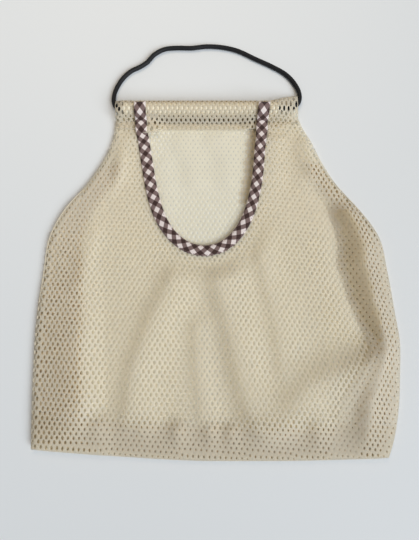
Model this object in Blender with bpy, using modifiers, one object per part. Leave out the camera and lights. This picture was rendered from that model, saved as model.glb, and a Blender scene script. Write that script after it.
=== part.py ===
"""Mesh storage bag with a U-shaped mouth, lying flat and face up with its cord handle laid out.

Two panels of knitted mesh are joined by a gusset strip that is folded in between them. The top of the
back panel is rolled forward over a tube and sewn down as a casing. The edge of the mouth is bound with
a folded bias strip whose ends run up over the casing, and a cord runs through the tube and round
outside it as a handle.

Every size is in millimetres. "across" runs to the right from the middle of the bag, "up" runs from the
bottom seam towards the handle, and "height" is above the surface that the bag lies on. Meshes are
written in metres, X to the right, Y towards the handle and Z up, with the origin under the middle of
the bag.
"""

import math

import bmesh
import bpy
import numpy as np

MM = 0.001

# Driving sizes
BAG_LENGTH = 394.0
CLOTH = 1.0  # thickness of every cloth piece
GAP = 0.3  # clearance between pieces that touch
LAYER = CLOTH + GAP  # from the middle of one touching layer to the middle of the next
FLOOR_LEVEL = CLOTH / 2  # middle of a layer that lies on the surface

ROD_DIAMETER = 14.0
ROD_BORE = 8.0
ROD_LEFT, ROD_RIGHT = -104.0, 69.0
ROD_CHAMFER = 1.0
ROD_SIDES = 24

CORD_DIAMETER = 5.0
CORD_STEP = 2.0 * CORD_DIAMETER

BINDING_WIDTH = 11.7
BINDING_SLOT = 1.8  # room for the panel between the two legs of the folded strip
BINDING_SHUT = 0.4  # what is left of that room where the strip lies on the casing

BELLY = 6.2  # middle height of the front panel where nothing lifts it
SEAT = FLOOR_LEVEL + LAYER  # a layer that lies on the back panel
SLOT_LEVEL = CLOTH + GAP + CLOTH + BINDING_SLOT / 2  # the front panel inside the binding


# Tables, a row for each section
def table(names, *rows):
    """The rows of a short table as one array for each named column."""
    return dict(zip(names, np.array(rows, float).T))


OUTLINE = table(
    ("up", "left", "right"),
    (0, -187, 171),
    (16, -187.5, 177),
    (50, -189, 185),
    (84, -190, 188.5),
    (118, -190.5, 190.5),
    (150, -189.5, 187),
    (192, -186, 182),
    (232, -181, 174),
    (262, -166, 154),
    (290, -143, 131),
    (314, -128, 117),
    (340, -117, 105),
    (362, -114, 94),
    (394, -113, 91),
)

# The bottom seam's rise to each corner: where it starts, over what run, how far and how sharply
LEFT_CORNER = {"start": -10.0, "run": 178.0, "rise": 11.5, "power": 1.4}
RIGHT_CORNER = {"start": 60.0, "run": 112.0, "rise": 3.0, "power": 1.6}

# Folded width of the gusset at each side, which is where the front panel steps down
GUSSET = table(
    ("up", "left_width", "right_width"),
    (32, 52, 44),
    (60, 52, 42),
    (90, 51, 30),
    (110, 50, 23),
    (130, 50, 26),
    (160, 47, 32),
    (200, 42, 36),
    (237, 35, 30),
    (265, 32, 22),
    (300, 26, 20),
    (345, 17, 16),
)
GUSSET_BOTTOM_WIDTH = 31.0
GUSSET_TOP = 312.0
GUSSET_SEAM = 2.5  # the gusset's edges lie this far inside the bag's seam
GUSSET_FOLD = 0.97  # the fold lies just short of where the front panel steps down
GUSSET_SLACK = 1.1  # room between the gusset and the front panel
GUSSET_STEPS = 13

# Section of the gusset from the seam on the back panel, round its fold, to the seam under the front
GUSSET_SECTION = table(
    ("towards_fold", "rise"),
    (0, 0),
    (0.5, 0),
    (0.93, 0),
    (1, 0.25),
    (1, 0.7),
    (0.93, 1),
    (0.5, 1),
    (0, 1),
)

# Height of the front panel over the gusset: inset is 0 at the seam and 1 at the gusset's fold
MARGIN = table(
    ("inset", "height"),
    (0.00, 4.9),
    (0.06, 5.6),
    (0.30, 7.6),
    (0.70, 9.8),
    (0.97, 10.8),
    (1.08, 10.2),
    (1.34, BELLY),
    (9.00, BELLY),
)
MARGIN_ROWS = 5  # rows of the table that the front panel's own rows and columns follow
STEP_DOWN = (4.0, 13.0)  # further rows just inside the gusset's fold
MIDDLE_COLUMNS = 18
PANEL_ROWS = (56, 325, 21)  # first, last and number of the rows between the gusset and the shoulders
SHOULDER_ROWS = (332, 338, 345, 352, 358, 364)
PANEL_CORNER_LIFT = 60.0  # the bottom seam's curve fades over this much of the front panel
PANEL_NARROWS, PANEL_NARROWS_BY = 340.0, 60.0  # the extra columns run out below the shoulders

# Casing: its middle, half width and half height at the middle of the cloth, and the hem's lower edge
CASING = table(
    ("across", "middle", "half_width", "half_height", "hem"),
    (-113, 376.0, 9.6, 6.0, 354.2),
    (-105, 376.0, 8.5, 8.1, 354.2),
    (-90, 376.0, 8.1, 8.1, 354.2),
    (60, 376.0, 8.1, 8.1, 354.2),
    (70, 377.2, 9.4, 8.1, 356.0),
    (78, 378.6, 12.0, 6.2, 358.6),
    (91, 379.7, 13.8, 3.9, 361.5),
)
CASING_FOOT = 1.2  # how far the seam stands in front of the casing's round
FOOT_RISE = 0.4
HEM_STEP_LEFT, HEM_STEP_RIGHT, HEM_STEP = -56.0, 24.0, 14.0  # where the hem climbs onto the shoulders
HEM_ROWS = (0.35, 1.0)
CASING_TURN = (-90, 192, 18)  # first angle, last angle and number of rows of the round part

# Where the rows of the back panel and its columns lie
BACK_UP = (0, 12, 50, 84, 118, 150, 192, 232, 247, 262, 276, 290, 314, 340, 352, 366)
BACK_ACROSS = (-113, -105, -97, -90, -80, -71, -58, -36, -8, 18, 31, 38, 46, 53, 60, 65, 70, 78, 84, 91)
CORNER_LIFT = 40.0  # the bottom seam's curve fades over this much above it

# Edge of the mouth, along the middle of the binding, with the height of the binding's underside
MOUTH = table(
    ("across", "up", "height"),
    (-84.6, 353, 5.3),
    (-82.4, 343.5, 1.8),
    (-79.8, 328, 1.3),
    (-76.7, 310, 1.3),
    (-72.9, 289, 1.3),
    (-68.0, 269, 1.3),
    (-60.4, 249, 1.3),
    (-47.4, 230.3, 1.3),
    (-31, 218.4, 1.3),
    (-14, 214.8, 1.3),
    (3, 218, 1.3),
    (18.2, 228.6, 1.3),
    (29.2, 243.6, 1.3),
    (37, 262, 1.6),
    (42.4, 283, 3.0),
    (45.8, 305, 4.2),
    (47.6, 326, 4.0),
    (49.4, 341, 4.3),
    (50.6, 352.5, 5.3),
)
CLIMB = 1.8  # advance of the binding's right end across the casing, which it crosses slightly aslant
HEM_CROSS_UP, HEM_LEAVE_UP = 358.5, 363.5  # the binding is level over the hem, then starts to climb
BINDING_CASING_ROW = -90  # the row of the casing's table whose round the binding follows
BINDING_TURN = (144, 64, -16)  # first angle, end and step of the binding round the casing
FOLD_ROUND = 0.6  # how far the round of the binding's own fold reaches
NOTCH_UP = 330.0  # above this the front panel is trimmed clear of the binding
LIFT_UP = 338.0  # above this the shoulders rise to the casing's hem
SHUT_UP = 340.0  # above this the binding closes, because no panel is left between its legs
LIFT_REACH = 14.0
SHOULDER_UP = 350.0  # above this the shoulders lie level under the casing's hem
SETTLE_REACH = 44.0  # the panel's folds fade over this much below the shoulders
LIP_START, LIP_REACH = 14.0, 24.0  # the panel leaves the binding's level over this much of its width

FOLDS_FROM = 0.5  # the folds begin at this inset, halfway over the gusset

# Folds of the front panel: the crest's line, its rise, and its reach on the steep and the gentle side.
# The steep side is on the right hand of someone walking along the crest from its first point.
FOLDS = (
    {
        "crest": ((-42, 192), (-57, 150), (-70, 110), (-79, 72), (-84, 44)),
        "rise": 4.0,
        "steep": 11,
        "gentle": 30,
    },
    {
        "crest": ((-1, 193), (9, 151), (19, 109), (30, 73), (45, 40)),
        "rise": 4.6,
        "steep": 11,
        "gentle": 30,
    },
    {
        "crest": ((-19, 134), (-15, 92), (-15, 48)),
        "rise": 2.4,
        "steep": 8,
        "gentle": 15,
    },
    {
        "crest": ((52, 195), (59, 151), (66, 116)),
        "rise": 3.0,
        "steep": 8,
        "gentle": 22,
    },
    {
        "crest": ((158, 98), (124, 87), (97, 75), (82, 55)),
        "rise": 3.4,
        "steep": 11,
        "gentle": 30,
    },
    {
        "crest": ((124, 262), (134, 232), (140, 193), (148, 156), (156, 128)),
        "rise": -3.0,
        "steep": 26,
        "gentle": 9,
    },
)

# Middle of the cord: from inside the rod's left end, round the handle and back through the rod
CORD = table(
    ("across", "up", "height"),
    (-88, 375.6, 8.0),
    (-98, 375.7, 8.0),
    (-106.4, 376.2, 7.4),
    (-113.6, 379.6, 5.9),
    (-116.6, 386.4, 4.4),
    (-116.6, 396, 3.2),
    (-112.5, 408, 2.8),
    (-106, 418, 2.8),
    (-98, 425.5, 2.8),
    (-88, 430.8, 2.8),
    (-80, 436.5, 2.8),
    (-72, 446, 2.8),
    (-61, 452.6, 2.8),
    (-46, 454.6, 2.8),
    (-29, 454.4, 2.8),
    (-12, 456.4, 2.8),
    (6, 455.4, 2.8),
    (23, 451.4, 2.8),
    (46, 440, 2.8),
    (65, 430.5, 2.8),
    (80, 421, 2.8),
    (90, 409, 2.8),
    (94.4, 398, 3.2),
    (94.4, 389.6, 4.0),
    (91.2, 382.8, 4.7),
    (84.4, 378.9, 5.8),
    (76, 377.0, 7.2),
    (66, 376.3, 7.9),
    (20, 376.0, 8.0),
    (-30, 375.8, 8.0),
    (-70, 375.6, 8.0),
    (-86.4, 375.6, 8.0),
)


# Curves and measures
FINE_SHARE = 40  # points worked out between two of a route's own points


def smooth(at, along, values):
    """Cubic curve through a table's rows, with each slope taken from the two rows beside it."""
    slopes = np.gradient(values, along)
    row = np.clip(np.searchsorted(along, at) - 1, 0, len(along) - 2)
    span = along[row + 1] - along[row]
    t = np.clip((at - along[row]) / span, 0, 1)
    start = values[row] * (1 + 2 * t) * (1 - t) ** 2 + slopes[row] * span * t * (1 - t) ** 2
    end = values[row + 1] * t * t * (3 - 2 * t) + slopes[row + 1] * span * t * t * (t - 1)
    return start + end


def ease(value):
    """0 below 0 and 1 above 1, with a smooth rise between."""
    t = np.clip(value, 0, 1)
    return t * t * (3 - 2 * t)


def run_length(points):
    """Distance along a line of points, from its start to each of them."""
    steps = np.linalg.norm(np.diff(points, axis=0), axis=1)
    return np.concatenate(([0.0], np.cumsum(steps)))


def curve_through(route, step):
    """Even points along the smooth curve through a route's own points."""
    points = np.column_stack([route[name] for name in ("across", "up", "height")])
    along = run_length(points)
    fine = np.linspace(0, along[-1], FINE_SHARE * len(points))
    curve = np.column_stack([smooth(fine, along, points[:, axis]) for axis in range(3)])
    length = run_length(curve)
    even = np.linspace(0, length[-1], round(length[-1] / step) + 1)
    return np.column_stack([np.interp(even, length, curve[:, axis]) for axis in range(3)])


def nearest(across, up, line):
    """Distance to a line of points, its side (-1 is the right hand) and the place along it."""
    along = run_length(line)
    best = np.full(np.shape(across), np.inf)
    side = np.ones(np.shape(across))
    place = np.zeros(np.shape(across))
    for index, (start, end) in enumerate(zip(line[:-1], line[1:])):
        step = end - start
        t = np.clip(((across - start[0]) * step[0] + (up - start[1]) * step[1]) / (step @ step), 0, 1)
        out_x = across - start[0] - t * step[0]
        out_y = up - start[1] - t * step[1]
        distance = np.hypot(out_x, out_y)
        closer = distance < best
        best = np.where(closer, distance, best)
        side = np.where(closer, np.sign(step[0] * out_y - step[1] * out_x), side)
        place = np.where(closer, along[index] + t * np.hypot(*step), place)
    return best, side, place


# Outline
def left_edge(up):
    return smooth(up, OUTLINE["up"], OUTLINE["left"])


def right_edge(up):
    return smooth(up, OUTLINE["up"], OUTLINE["right"])


def bottom_edge(across):
    """The bottom seam sags: it is lowest a little right of the middle and rises to both corners."""
    left, right = LEFT_CORNER, RIGHT_CORNER
    to_left = np.clip((left["start"] - across) / left["run"], 0, 1)
    to_right = np.clip((across - right["start"]) / right["run"], 0, 1)
    return left["rise"] * to_left ** left["power"] + right["rise"] * to_right ** right["power"]


def gusset_width(up, side):
    return np.interp(up, GUSSET["up"], GUSSET[side])


def inset(across, up):
    """0 on the seam round both sides and the bottom, 1 on the gusset's fold, more inside it."""
    from_left = (across - left_edge(up)) / gusset_width(up, "left_width")
    from_right = (right_edge(up) - across) / gusset_width(up, "right_width")
    from_bottom = (up - bottom_edge(across)) / GUSSET_BOTTOM_WIDTH
    return np.minimum(np.minimum(from_left, from_right), from_bottom)


MOUTH_LINE = curve_through(MOUTH, 8.0)


def front_height(across, up):
    """Middle height of the front panel: its margins over the gusset, its folds, and level at the mouth."""
    edge = inset(across, up)
    height = np.interp(edge, MARGIN["inset"], MARGIN["height"])
    for fold in FOLDS:
        distance, side, _ = nearest(across, up, np.array(fold["crest"], float))
        reach = np.where(side < 0, fold["steep"], fold["gentle"])
        height = height + fold["rise"] * np.exp(-((distance / reach) ** 2)) * ease(edge - FOLDS_FROM)
    height = SLOT_LEVEL + (height - SLOT_LEVEL) * ease((SHOULDER_UP - up) / SETTLE_REACH)
    distance, _, place = nearest(across, up, MOUTH_LINE[:, :2])
    binding_height = np.interp(place, run_length(MOUTH_LINE[:, :2]), MOUTH_LINE[:, 2])
    slot = binding_height + CLOTH + BINDING_SLOT / 2
    slot = slot + (SLOT_LEVEL - slot) * ease((up - LIFT_UP) / LIFT_REACH)
    return slot + (height - slot) * ease((distance - LIP_START) / LIP_REACH)


# Sheets
def sheet(name, points, material, thickness=CLOTH):
    """A grid of points as an open surface, made a solid of the cloth's thickness."""
    rows, columns = points.shape[:2]
    shape = bmesh.new()
    bmesh.ops.create_grid(shape, x_segments=columns - 1, y_segments=rows - 1, size=0.5)
    for vertex in shape.verts:
        column = round((vertex.co.x + 0.5) * (columns - 1))
        row = round((vertex.co.y + 0.5) * (rows - 1))
        across, up, height = points[row, column]
        vertex.co = (across * MM, (up - BAG_LENGTH / 2) * MM, height * MM)
    mesh = bpy.data.meshes.new(name)
    shape.to_mesh(mesh)
    shape.free()
    piece = bpy.data.objects.new(name, mesh)
    PARTS.objects.link(piece)
    mesh.materials.append(material)
    solid = piece.modifiers.new("Thickness", "SOLIDIFY")
    solid.thickness = thickness * MM
    solid.offset = 0.0
    return piece


def back_panel():
    """Flat on the surface up to the casing, then round the rod and down to the hem."""
    columns = np.array(BACK_ACROSS, float)
    share = (columns - columns[0]) / (columns[-1] - columns[0])
    rows = []
    for up in BACK_UP:
        across = left_edge(up) + (right_edge(up) - left_edge(up)) * share
        lift = bottom_edge(across) * ease(1 - up / CORNER_LIFT)
        rows.append(np.column_stack((across, up + lift, np.full(len(columns), FLOOR_LEVEL))))

    section = {name: np.interp(columns, CASING["across"], CASING[name]) for name in CASING}
    for angle in np.radians(np.linspace(*CASING_TURN)):
        up = section["middle"] + section["half_width"] * math.cos(angle)
        height = FLOOR_LEVEL + section["half_height"] * (1 + math.sin(angle))
        rows.append(np.column_stack((columns, up, height)))
    level = hem_level(columns)
    foot = section["middle"] - section["half_width"] - CASING_FOOT
    rows.append(np.column_stack((columns, foot, level + FOOT_RISE)))
    for share_down in HEM_ROWS:
        up = foot + (section["hem"] - foot) * share_down
        rows.append(np.column_stack((columns, up, level)))
    return sheet("back_panel", np.array(rows), MESH_CLOTH)


def hem_level(across):
    """The hem lies on the back panel inside the mouth and on the front panel's shoulders beside it."""
    to_left = ease((HEM_STEP_LEFT - across) / HEM_STEP)
    to_right = ease((across - HEM_STEP_RIGHT) / HEM_STEP)
    return SEAT + (SLOT_LEVEL + LAYER - SEAT) * np.maximum(to_left, to_right)


def front_panel():
    """The panel with its folds, its margins raised over the gusset and its mouth cut out."""
    band = MARGIN["inset"][:MARGIN_ROWS]
    beyond = np.array(STEP_DOWN)
    middle = np.linspace(0, 1, MIDDLE_COLUMNS + 2)[1:-1]
    rows = []
    for up in front_rows():
        left, right = left_edge(up), right_edge(up)
        wide_left, wide_right = gusset_width(up, "left_width"), gusset_width(up, "right_width")
        fade = ease((PANEL_NARROWS - up) / PANEL_NARROWS_BY)
        inner_left = left + wide_left + beyond[-1] * fade
        inner_right = right - wide_right - beyond[-1] * fade
        across = np.concatenate(
            (
                left + wide_left * band,
                left + wide_left + beyond * fade,
                inner_left + (inner_right - inner_left) * middle,
                right - wide_right - beyond[::-1] * fade,
                right - wide_right * band[::-1],
            )
        )
        lifted = up + bottom_edge(across) * ease(1 - up / PANEL_CORNER_LIFT)
        rows.append(np.column_stack((across, lifted, front_height(across, lifted))))
    piece = sheet("front_panel", np.array(rows), MESH_CLOTH)
    cut(piece, mouth_cutter())
    return piece


def front_rows():
    """Where the front panel's rows lie: close over the gusset and the shoulders, even between."""
    bottom = GUSSET_BOTTOM_WIDTH * MARGIN["inset"][:MARGIN_ROWS]
    step = GUSSET_BOTTOM_WIDTH + np.array(STEP_DOWN)
    return np.concatenate((bottom, step, np.linspace(*PANEL_ROWS), SHOULDER_ROWS))


def mouth_cutter():
    """The mouth's outline, inside the binding's slot and, above the notch, clear of the binding."""
    line = MOUTH_LINE[:, :2]
    along = np.gradient(line, axis=0)
    inward = np.column_stack((-along[:, 1], along[:, 0])) / np.linalg.norm(along, axis=1)[:, None]
    in_slot = BINDING_WIDTH / 2 - CLOTH - 2 * GAP
    clear = -BINDING_WIDTH / 2 - 3 * GAP
    offset = np.where(line[:, 1] < NOTCH_UP, in_slot, clear)
    edge = line + inward * offset[:, None]
    top = BAG_LENGTH
    edge = np.vstack(((edge[0, 0], top), edge, (edge[-1, 0], top)))

    curve = bpy.data.curves.new("mouth_cutter", "CURVE")
    curve.dimensions = "2D"
    curve.fill_mode = "BOTH"
    curve.extrude = BELLY * 3 * MM
    spline = curve.splines.new("POLY")
    spline.points.add(len(edge) - 1)
    for point, (across, up) in zip(spline.points, edge):
        point.co = (across * MM, (up - BAG_LENGTH / 2) * MM, 0, 1)
    spline.use_cyclic_u = True
    outline = bpy.data.objects.new("mouth_outline", curve)
    CUTTERS.objects.link(outline)
    cutter = as_mesh(outline, "mouth_cutter")
    cutter.hide_render = True
    cutter.display_type = "WIRE"
    return cutter


def as_mesh(curve_object, name):
    """A curve's evaluated shape as a welded mesh object that takes its place."""
    graph = bpy.context.evaluated_depsgraph_get()
    graph.update()
    mesh = bpy.data.meshes.new_from_object(curve_object.evaluated_get(graph))
    shape = bmesh.new()
    shape.from_mesh(mesh)
    bmesh.ops.remove_doubles(shape, verts=shape.verts, dist=1e-6)
    bmesh.ops.recalc_face_normals(shape, faces=shape.faces)
    shape.to_mesh(mesh)
    shape.free()
    collection = curve_object.users_collection[0]
    bpy.data.objects.remove(curve_object)
    result = bpy.data.objects.new(name, mesh)
    collection.objects.link(result)
    return result


def cut(piece, cutter):
    modifier = piece.modifiers.new("Mouth", "BOOLEAN")
    modifier.operation = "DIFFERENCE"
    modifier.solver = "EXACT"
    modifier.object = cutter


def gusset():
    """The depth strip, folded double: one leg on the back panel, a round fold, one leg under the front."""
    outer, fold = gusset_lines()
    rows = []
    for towards_fold, rise in zip(GUSSET_SECTION["towards_fold"], GUSSET_SECTION["rise"]):
        place = outer + (fold - outer) * towards_fold
        upper = front_height(place[:, 0], place[:, 1]) - LAYER - GUSSET_SLACK
        upper = np.maximum(upper, SEAT + LAYER)
        height = SEAT + (upper - SEAT) * rise
        rows.append(np.column_stack((place, height)))
    return sheet("gusset", np.array(rows), MESH_CLOTH)


def gusset_lines():
    """The gusset's sewn edge and its fold, down the left side, along the bottom and up the right side."""
    shares = np.linspace(0, 1, GUSSET_STEPS)
    left_foot = GUSSET_SEAM + bottom_edge(left_edge(0))
    right_foot = GUSSET_SEAM + bottom_edge(right_edge(0))
    wide_left = gusset_width(GUSSET_BOTTOM_WIDTH, "left_width") * GUSSET_FOLD
    wide_right = gusset_width(GUSSET_BOTTOM_WIDTH, "right_width") * GUSSET_FOLD
    left_corner = bottom_fold_up(left_edge(GUSSET_BOTTOM_WIDTH) + wide_left)
    right_corner = bottom_fold_up(right_edge(GUSSET_BOTTOM_WIDTH) - wide_right)

    down = GUSSET_TOP + (left_foot - GUSSET_TOP) * shares
    fold_down = GUSSET_TOP + (left_corner - GUSSET_TOP) * shares
    left_side = np.column_stack((left_edge(down) + GUSSET_SEAM, down))
    left_reach = gusset_width(fold_down, "left_width") * GUSSET_FOLD
    left_fold = np.column_stack((left_edge(fold_down) + left_reach, fold_down))

    rising = right_foot + (GUSSET_TOP - right_foot) * shares
    fold_rising = right_corner + (GUSSET_TOP - right_corner) * shares
    right_side = np.column_stack((right_edge(rising) - GUSSET_SEAM, rising))
    right_reach = gusset_width(fold_rising, "right_width") * GUSSET_FOLD
    right_fold = np.column_stack((right_edge(fold_rising) - right_reach, fold_rising))

    between = shares[1:-1, None]
    bottom = left_side[-1] + (right_side[0] - left_side[-1]) * between
    bottom[:, 1] = bottom_edge(bottom[:, 0]) + GUSSET_SEAM
    bottom_fold = left_fold[-1] + (right_fold[0] - left_fold[-1]) * between
    bottom_fold[:, 1] = bottom_fold_up(bottom_fold[:, 0])
    outer = np.vstack((left_side, bottom, right_side))
    fold = np.vstack((left_fold, bottom_fold, right_fold))
    return outer, fold


def bottom_fold_up(across):
    """Where the gusset's fold lies along the bottom, a gusset's width above the bottom seam."""
    return bottom_edge(across) + GUSSET_BOTTOM_WIDTH * GUSSET_FOLD


# Binding
def binding_route():
    """Underside of the binding: up over the casing, round the mouth, and over the casing again."""
    row = list(CASING["across"]).index(BINDING_CASING_ROW)
    middle = CASING["middle"][row]
    radius = CASING["half_width"][row] + CLOTH / 2 + 2 * GAP
    centre = FLOOR_LEVEL + CASING["half_height"][row]
    on_hem = SLOT_LEVEL + LAYER + CLOTH / 2 + GAP
    turn = np.radians(np.arange(*BINDING_TURN))
    over = np.column_stack((middle + radius * np.cos(turn), centre + radius * np.sin(turn)))
    climb = np.vstack(((HEM_CROSS_UP, on_hem), (HEM_LEAVE_UP, on_hem + CLOTH / 2), over))
    drift = CLIMB * (climb[:, 0] - climb[0, 0]) / (climb[-1, 0] - climb[0, 0])
    left = np.column_stack((np.full(len(climb), MOUTH_LINE[0, 0]), climb))[::-1]
    right = np.column_stack((MOUTH_LINE[-1, 0] + drift, climb))
    return np.vstack((left, MOUTH_LINE, right))


def binding():
    """A strip folded over the edge of the mouth, its open side away from the mouth."""
    route = binding_route()
    shut = ease((route[:, 1] - SHUT_UP) / LIFT_REACH)
    outward, upward = binding_frame(route, shut)
    slot = BINDING_SLOT + (BINDING_SHUT - BINDING_SLOT) * shut
    half = BINDING_WIDTH / 2
    fold = half - CLOTH / 2
    lip = FOLD_ROUND - fold
    section = ((half, 0), (lip, 0), (-fold, 0.25), (-fold, 0.75), (lip, 1), (half, 1))
    rows = []
    for side, rise in section:
        height = CLOTH / 2 + (CLOTH + slot) * rise
        rows.append(route + outward * side + upward * height[:, None])
    return sheet("binding", np.array(rows), CHECKED_COTTON)


def binding_frame(route, shut):
    """Directions away from the mouth and off the strip's underside, square across where it is shut."""
    plan = np.gradient(route[:, :2], axis=0)
    outward = np.column_stack((plan[:, 1], -plan[:, 0])) / np.linalg.norm(plan, axis=1)[:, None]
    square = np.column_stack((np.sign(route[:, 0]), np.zeros(len(route))))
    outward += (square - outward) * shut[:, None]
    outward = np.column_stack((outward, np.zeros(len(route))))
    forward = np.gradient(route, axis=0)
    upward = np.cross(outward, forward / np.linalg.norm(forward, axis=1)[:, None])
    upward /= np.linalg.norm(upward, axis=1)[:, None]
    return outward, upward


# Rod and cord
def rod():
    """A thick-walled tube: its wall's section turned round its own axis."""
    inner, outer = ROD_BORE / 2, ROD_DIAMETER / 2
    half = (ROD_RIGHT - ROD_LEFT) / 2
    section = (
        (inner, half),
        (outer - ROD_CHAMFER, half),
        (outer, half - ROD_CHAMFER),
        (outer, ROD_CHAMFER - half),
        (outer - ROD_CHAMFER, -half),
        (inner, -half),
    )
    mesh = bpy.data.meshes.new("rod")
    corners = [(radius * MM, 0, along * MM) for radius, along in section]
    mesh.from_pydata(corners, [(n, (n + 1) % len(section)) for n in range(len(section))], [])
    piece = bpy.data.objects.new("rod", mesh)
    PARTS.objects.link(piece)
    mesh.materials.append(PALE_PLASTIC)
    turned = piece.modifiers.new("Turned", "SCREW")
    turned.angle = 2 * math.pi
    turned.steps = ROD_SIDES
    turned.render_steps = ROD_SIDES
    turned.use_merge_vertices = True
    turned.merge_threshold = 1e-5
    turned.use_smooth_shade = False
    height = FLOOR_LEVEL + CASING["half_height"][2]
    middle = CASING["middle"][2] - BAG_LENGTH / 2
    piece.location = ((ROD_LEFT + ROD_RIGHT) / 2 * MM, middle * MM, height * MM)
    piece.rotation_euler = (0, math.pi / 2, 0)
    return piece


def cord():
    """One loop: out of the rod's left end, round the handle, in at the right end and back inside."""
    curve = bpy.data.curves.new("cord", "CURVE")
    curve.dimensions = "3D"
    curve.bevel_depth = CORD_DIAMETER / 2 * MM
    curve.bevel_resolution = 2
    curve.use_fill_caps = True
    points = curve_through(CORD, CORD_STEP)
    spline = curve.splines.new("POLY")
    spline.points.add(len(points) - 1)
    for point, (across, up, height) in zip(spline.points, points):
        point.co = (across * MM, (up - BAG_LENGTH / 2) * MM, height * MM, 1)
    curve.materials.append(BLACK_BRAID)
    piece = bpy.data.objects.new("cord", curve)
    PARTS.objects.link(piece)
    return piece


def material(name, colour, roughness):
    finish = bpy.data.materials.new(name)
    finish.use_nodes = True
    shader = finish.node_tree.nodes["Principled BSDF"]
    shader.inputs["Base Color"].default_value = (*colour, 1)
    shader.inputs["Roughness"].default_value = roughness
    shader.inputs["Metallic"].default_value = 0.0
    return finish


def collection(name):
    group = bpy.data.collections.new(name)
    bpy.context.scene.collection.children.link(group)
    return group


for old in list(bpy.data.objects):
    bpy.data.objects.remove(old, do_unlink=True)

PARTS = collection("mesh_bag")
CUTTERS = collection("cutters")
MESH_CLOTH = material("beige_mesh", (0.62, 0.54, 0.37), 0.7)
CHECKED_COTTON = material("checked_cotton", (0.30, 0.20, 0.19), 0.85)
PALE_PLASTIC = material("pale_plastic", (0.80, 0.76, 0.62), 0.45)
BLACK_BRAID = material("black_braid", (0.02, 0.02, 0.025), 0.75)

back_panel()
front_panel()
gusset()
binding()
rod()
cord()
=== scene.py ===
# %% [markdown]
# # A mesh storage bag, laid flat
#
# This bag hangs in a kitchen or a laundry and holds vegetables, toys or washing. Two panels of knitted
# polyester mesh and a folded gusset make the body, a checked bias strip binds the mouth, and a braided
# cord runs through a plastic tube at the top as a handle.
#
# The construction model already holds every piece at its true size. This script dresses it: it knits the
# mesh with real holes, weaves the check, braids the cord, and lights the bag on a pale floor.

# %% The construction model
import math

import bpy
import numpy as np
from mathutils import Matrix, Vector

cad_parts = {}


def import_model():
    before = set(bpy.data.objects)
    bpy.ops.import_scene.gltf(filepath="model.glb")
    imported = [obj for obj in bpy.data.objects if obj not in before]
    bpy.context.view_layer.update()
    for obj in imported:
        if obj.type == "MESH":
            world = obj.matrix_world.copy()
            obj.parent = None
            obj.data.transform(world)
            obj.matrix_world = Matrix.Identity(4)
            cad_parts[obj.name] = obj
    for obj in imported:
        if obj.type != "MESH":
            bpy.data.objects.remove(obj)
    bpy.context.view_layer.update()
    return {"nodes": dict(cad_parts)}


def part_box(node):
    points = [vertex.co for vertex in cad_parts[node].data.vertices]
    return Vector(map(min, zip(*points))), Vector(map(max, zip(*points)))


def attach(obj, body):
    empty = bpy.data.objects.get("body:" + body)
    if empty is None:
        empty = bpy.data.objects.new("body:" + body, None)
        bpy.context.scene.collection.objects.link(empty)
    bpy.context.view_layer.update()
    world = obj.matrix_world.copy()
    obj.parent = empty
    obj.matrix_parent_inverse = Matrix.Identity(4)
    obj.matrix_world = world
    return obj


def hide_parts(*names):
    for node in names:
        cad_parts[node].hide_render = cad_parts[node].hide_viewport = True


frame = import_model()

print("construction nodes:", ", ".join(sorted(frame["nodes"])))

# %% [markdown]
# ## Measures and curves
#
# A pattern cutter thinks in millimetres across and up the bag, so every table below does too. `across` is
# 0 in the middle of the bag, `up` is 0 at the bottom seam, and `height` is above the floor. A short table
# with a row for each section, read through a smooth curve, describes a shape with far fewer numbers than
# a list of points, and it can be corrected by hand.

# %% Units and tables
MM = 0.001
BOTTOM_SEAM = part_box("back_panel")[0][1] / MM


def table(names, *rows):
    """The rows of a short table as one array for each named column."""
    return dict(zip(names, np.array(rows, float).T))


def smooth(at, along, values):
    """Cubic curve through a table's rows, with each slope taken from the two rows beside it."""
    slopes = np.gradient(values, along)
    row = np.clip(np.searchsorted(along, at) - 1, 0, len(along) - 2)
    span = along[row + 1] - along[row]
    t = np.clip((at - along[row]) / span, 0, 1)
    start = values[row] * (1 + 2 * t) * (1 - t) ** 2 + slopes[row] * span * t * (1 - t) ** 2
    end = values[row + 1] * t * t * (3 - 2 * t) + slopes[row + 1] * span * t * t * (t - 1)
    return start + end


def ease(value, start=0.0, end=1.0):
    """0 up to the start and 1 from the end on, with a smooth change between; the end may lie lower."""
    t = np.clip((value - start) / (end - start), 0, 1)
    return t * t * (3 - 2 * t)


print("the bottom seam lies at y =", round(BOTTOM_SEAM, 1), "mm")


# %% Lines of points
def unit(rows):
    """Each row of a list of arrows, cut to a length of 1."""
    return rows / np.linalg.norm(rows, axis=1)[:, None]


def run_length(points):
    """Distance along a line of points, from its start to each of them."""
    steps = np.linalg.norm(np.diff(points, axis=0), axis=1)
    return np.concatenate(([0.0], np.cumsum(steps)))


def places_along(line, length, at):
    """Places on a line of points, where length is the distance along it to each of its points."""
    return np.column_stack([np.interp(at, length, column) for column in line.T])


def even_points(line, step):
    """The same line with its points one step apart."""
    length = run_length(line)
    return places_along(line, length, np.linspace(0, length[-1], round(length[-1] / step) + 1))


def curve_through(route, step):
    """Even points along the smooth curve through a route's own points."""
    points = np.column_stack([route[name] for name in ("across", "up", "height")])
    along = run_length(points)
    fine = np.linspace(0, along[-1], 40 * len(points))
    curve = np.column_stack([smooth(fine, along, points[:, axis]) for axis in range(3)])
    return even_points(curve, step)


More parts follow.
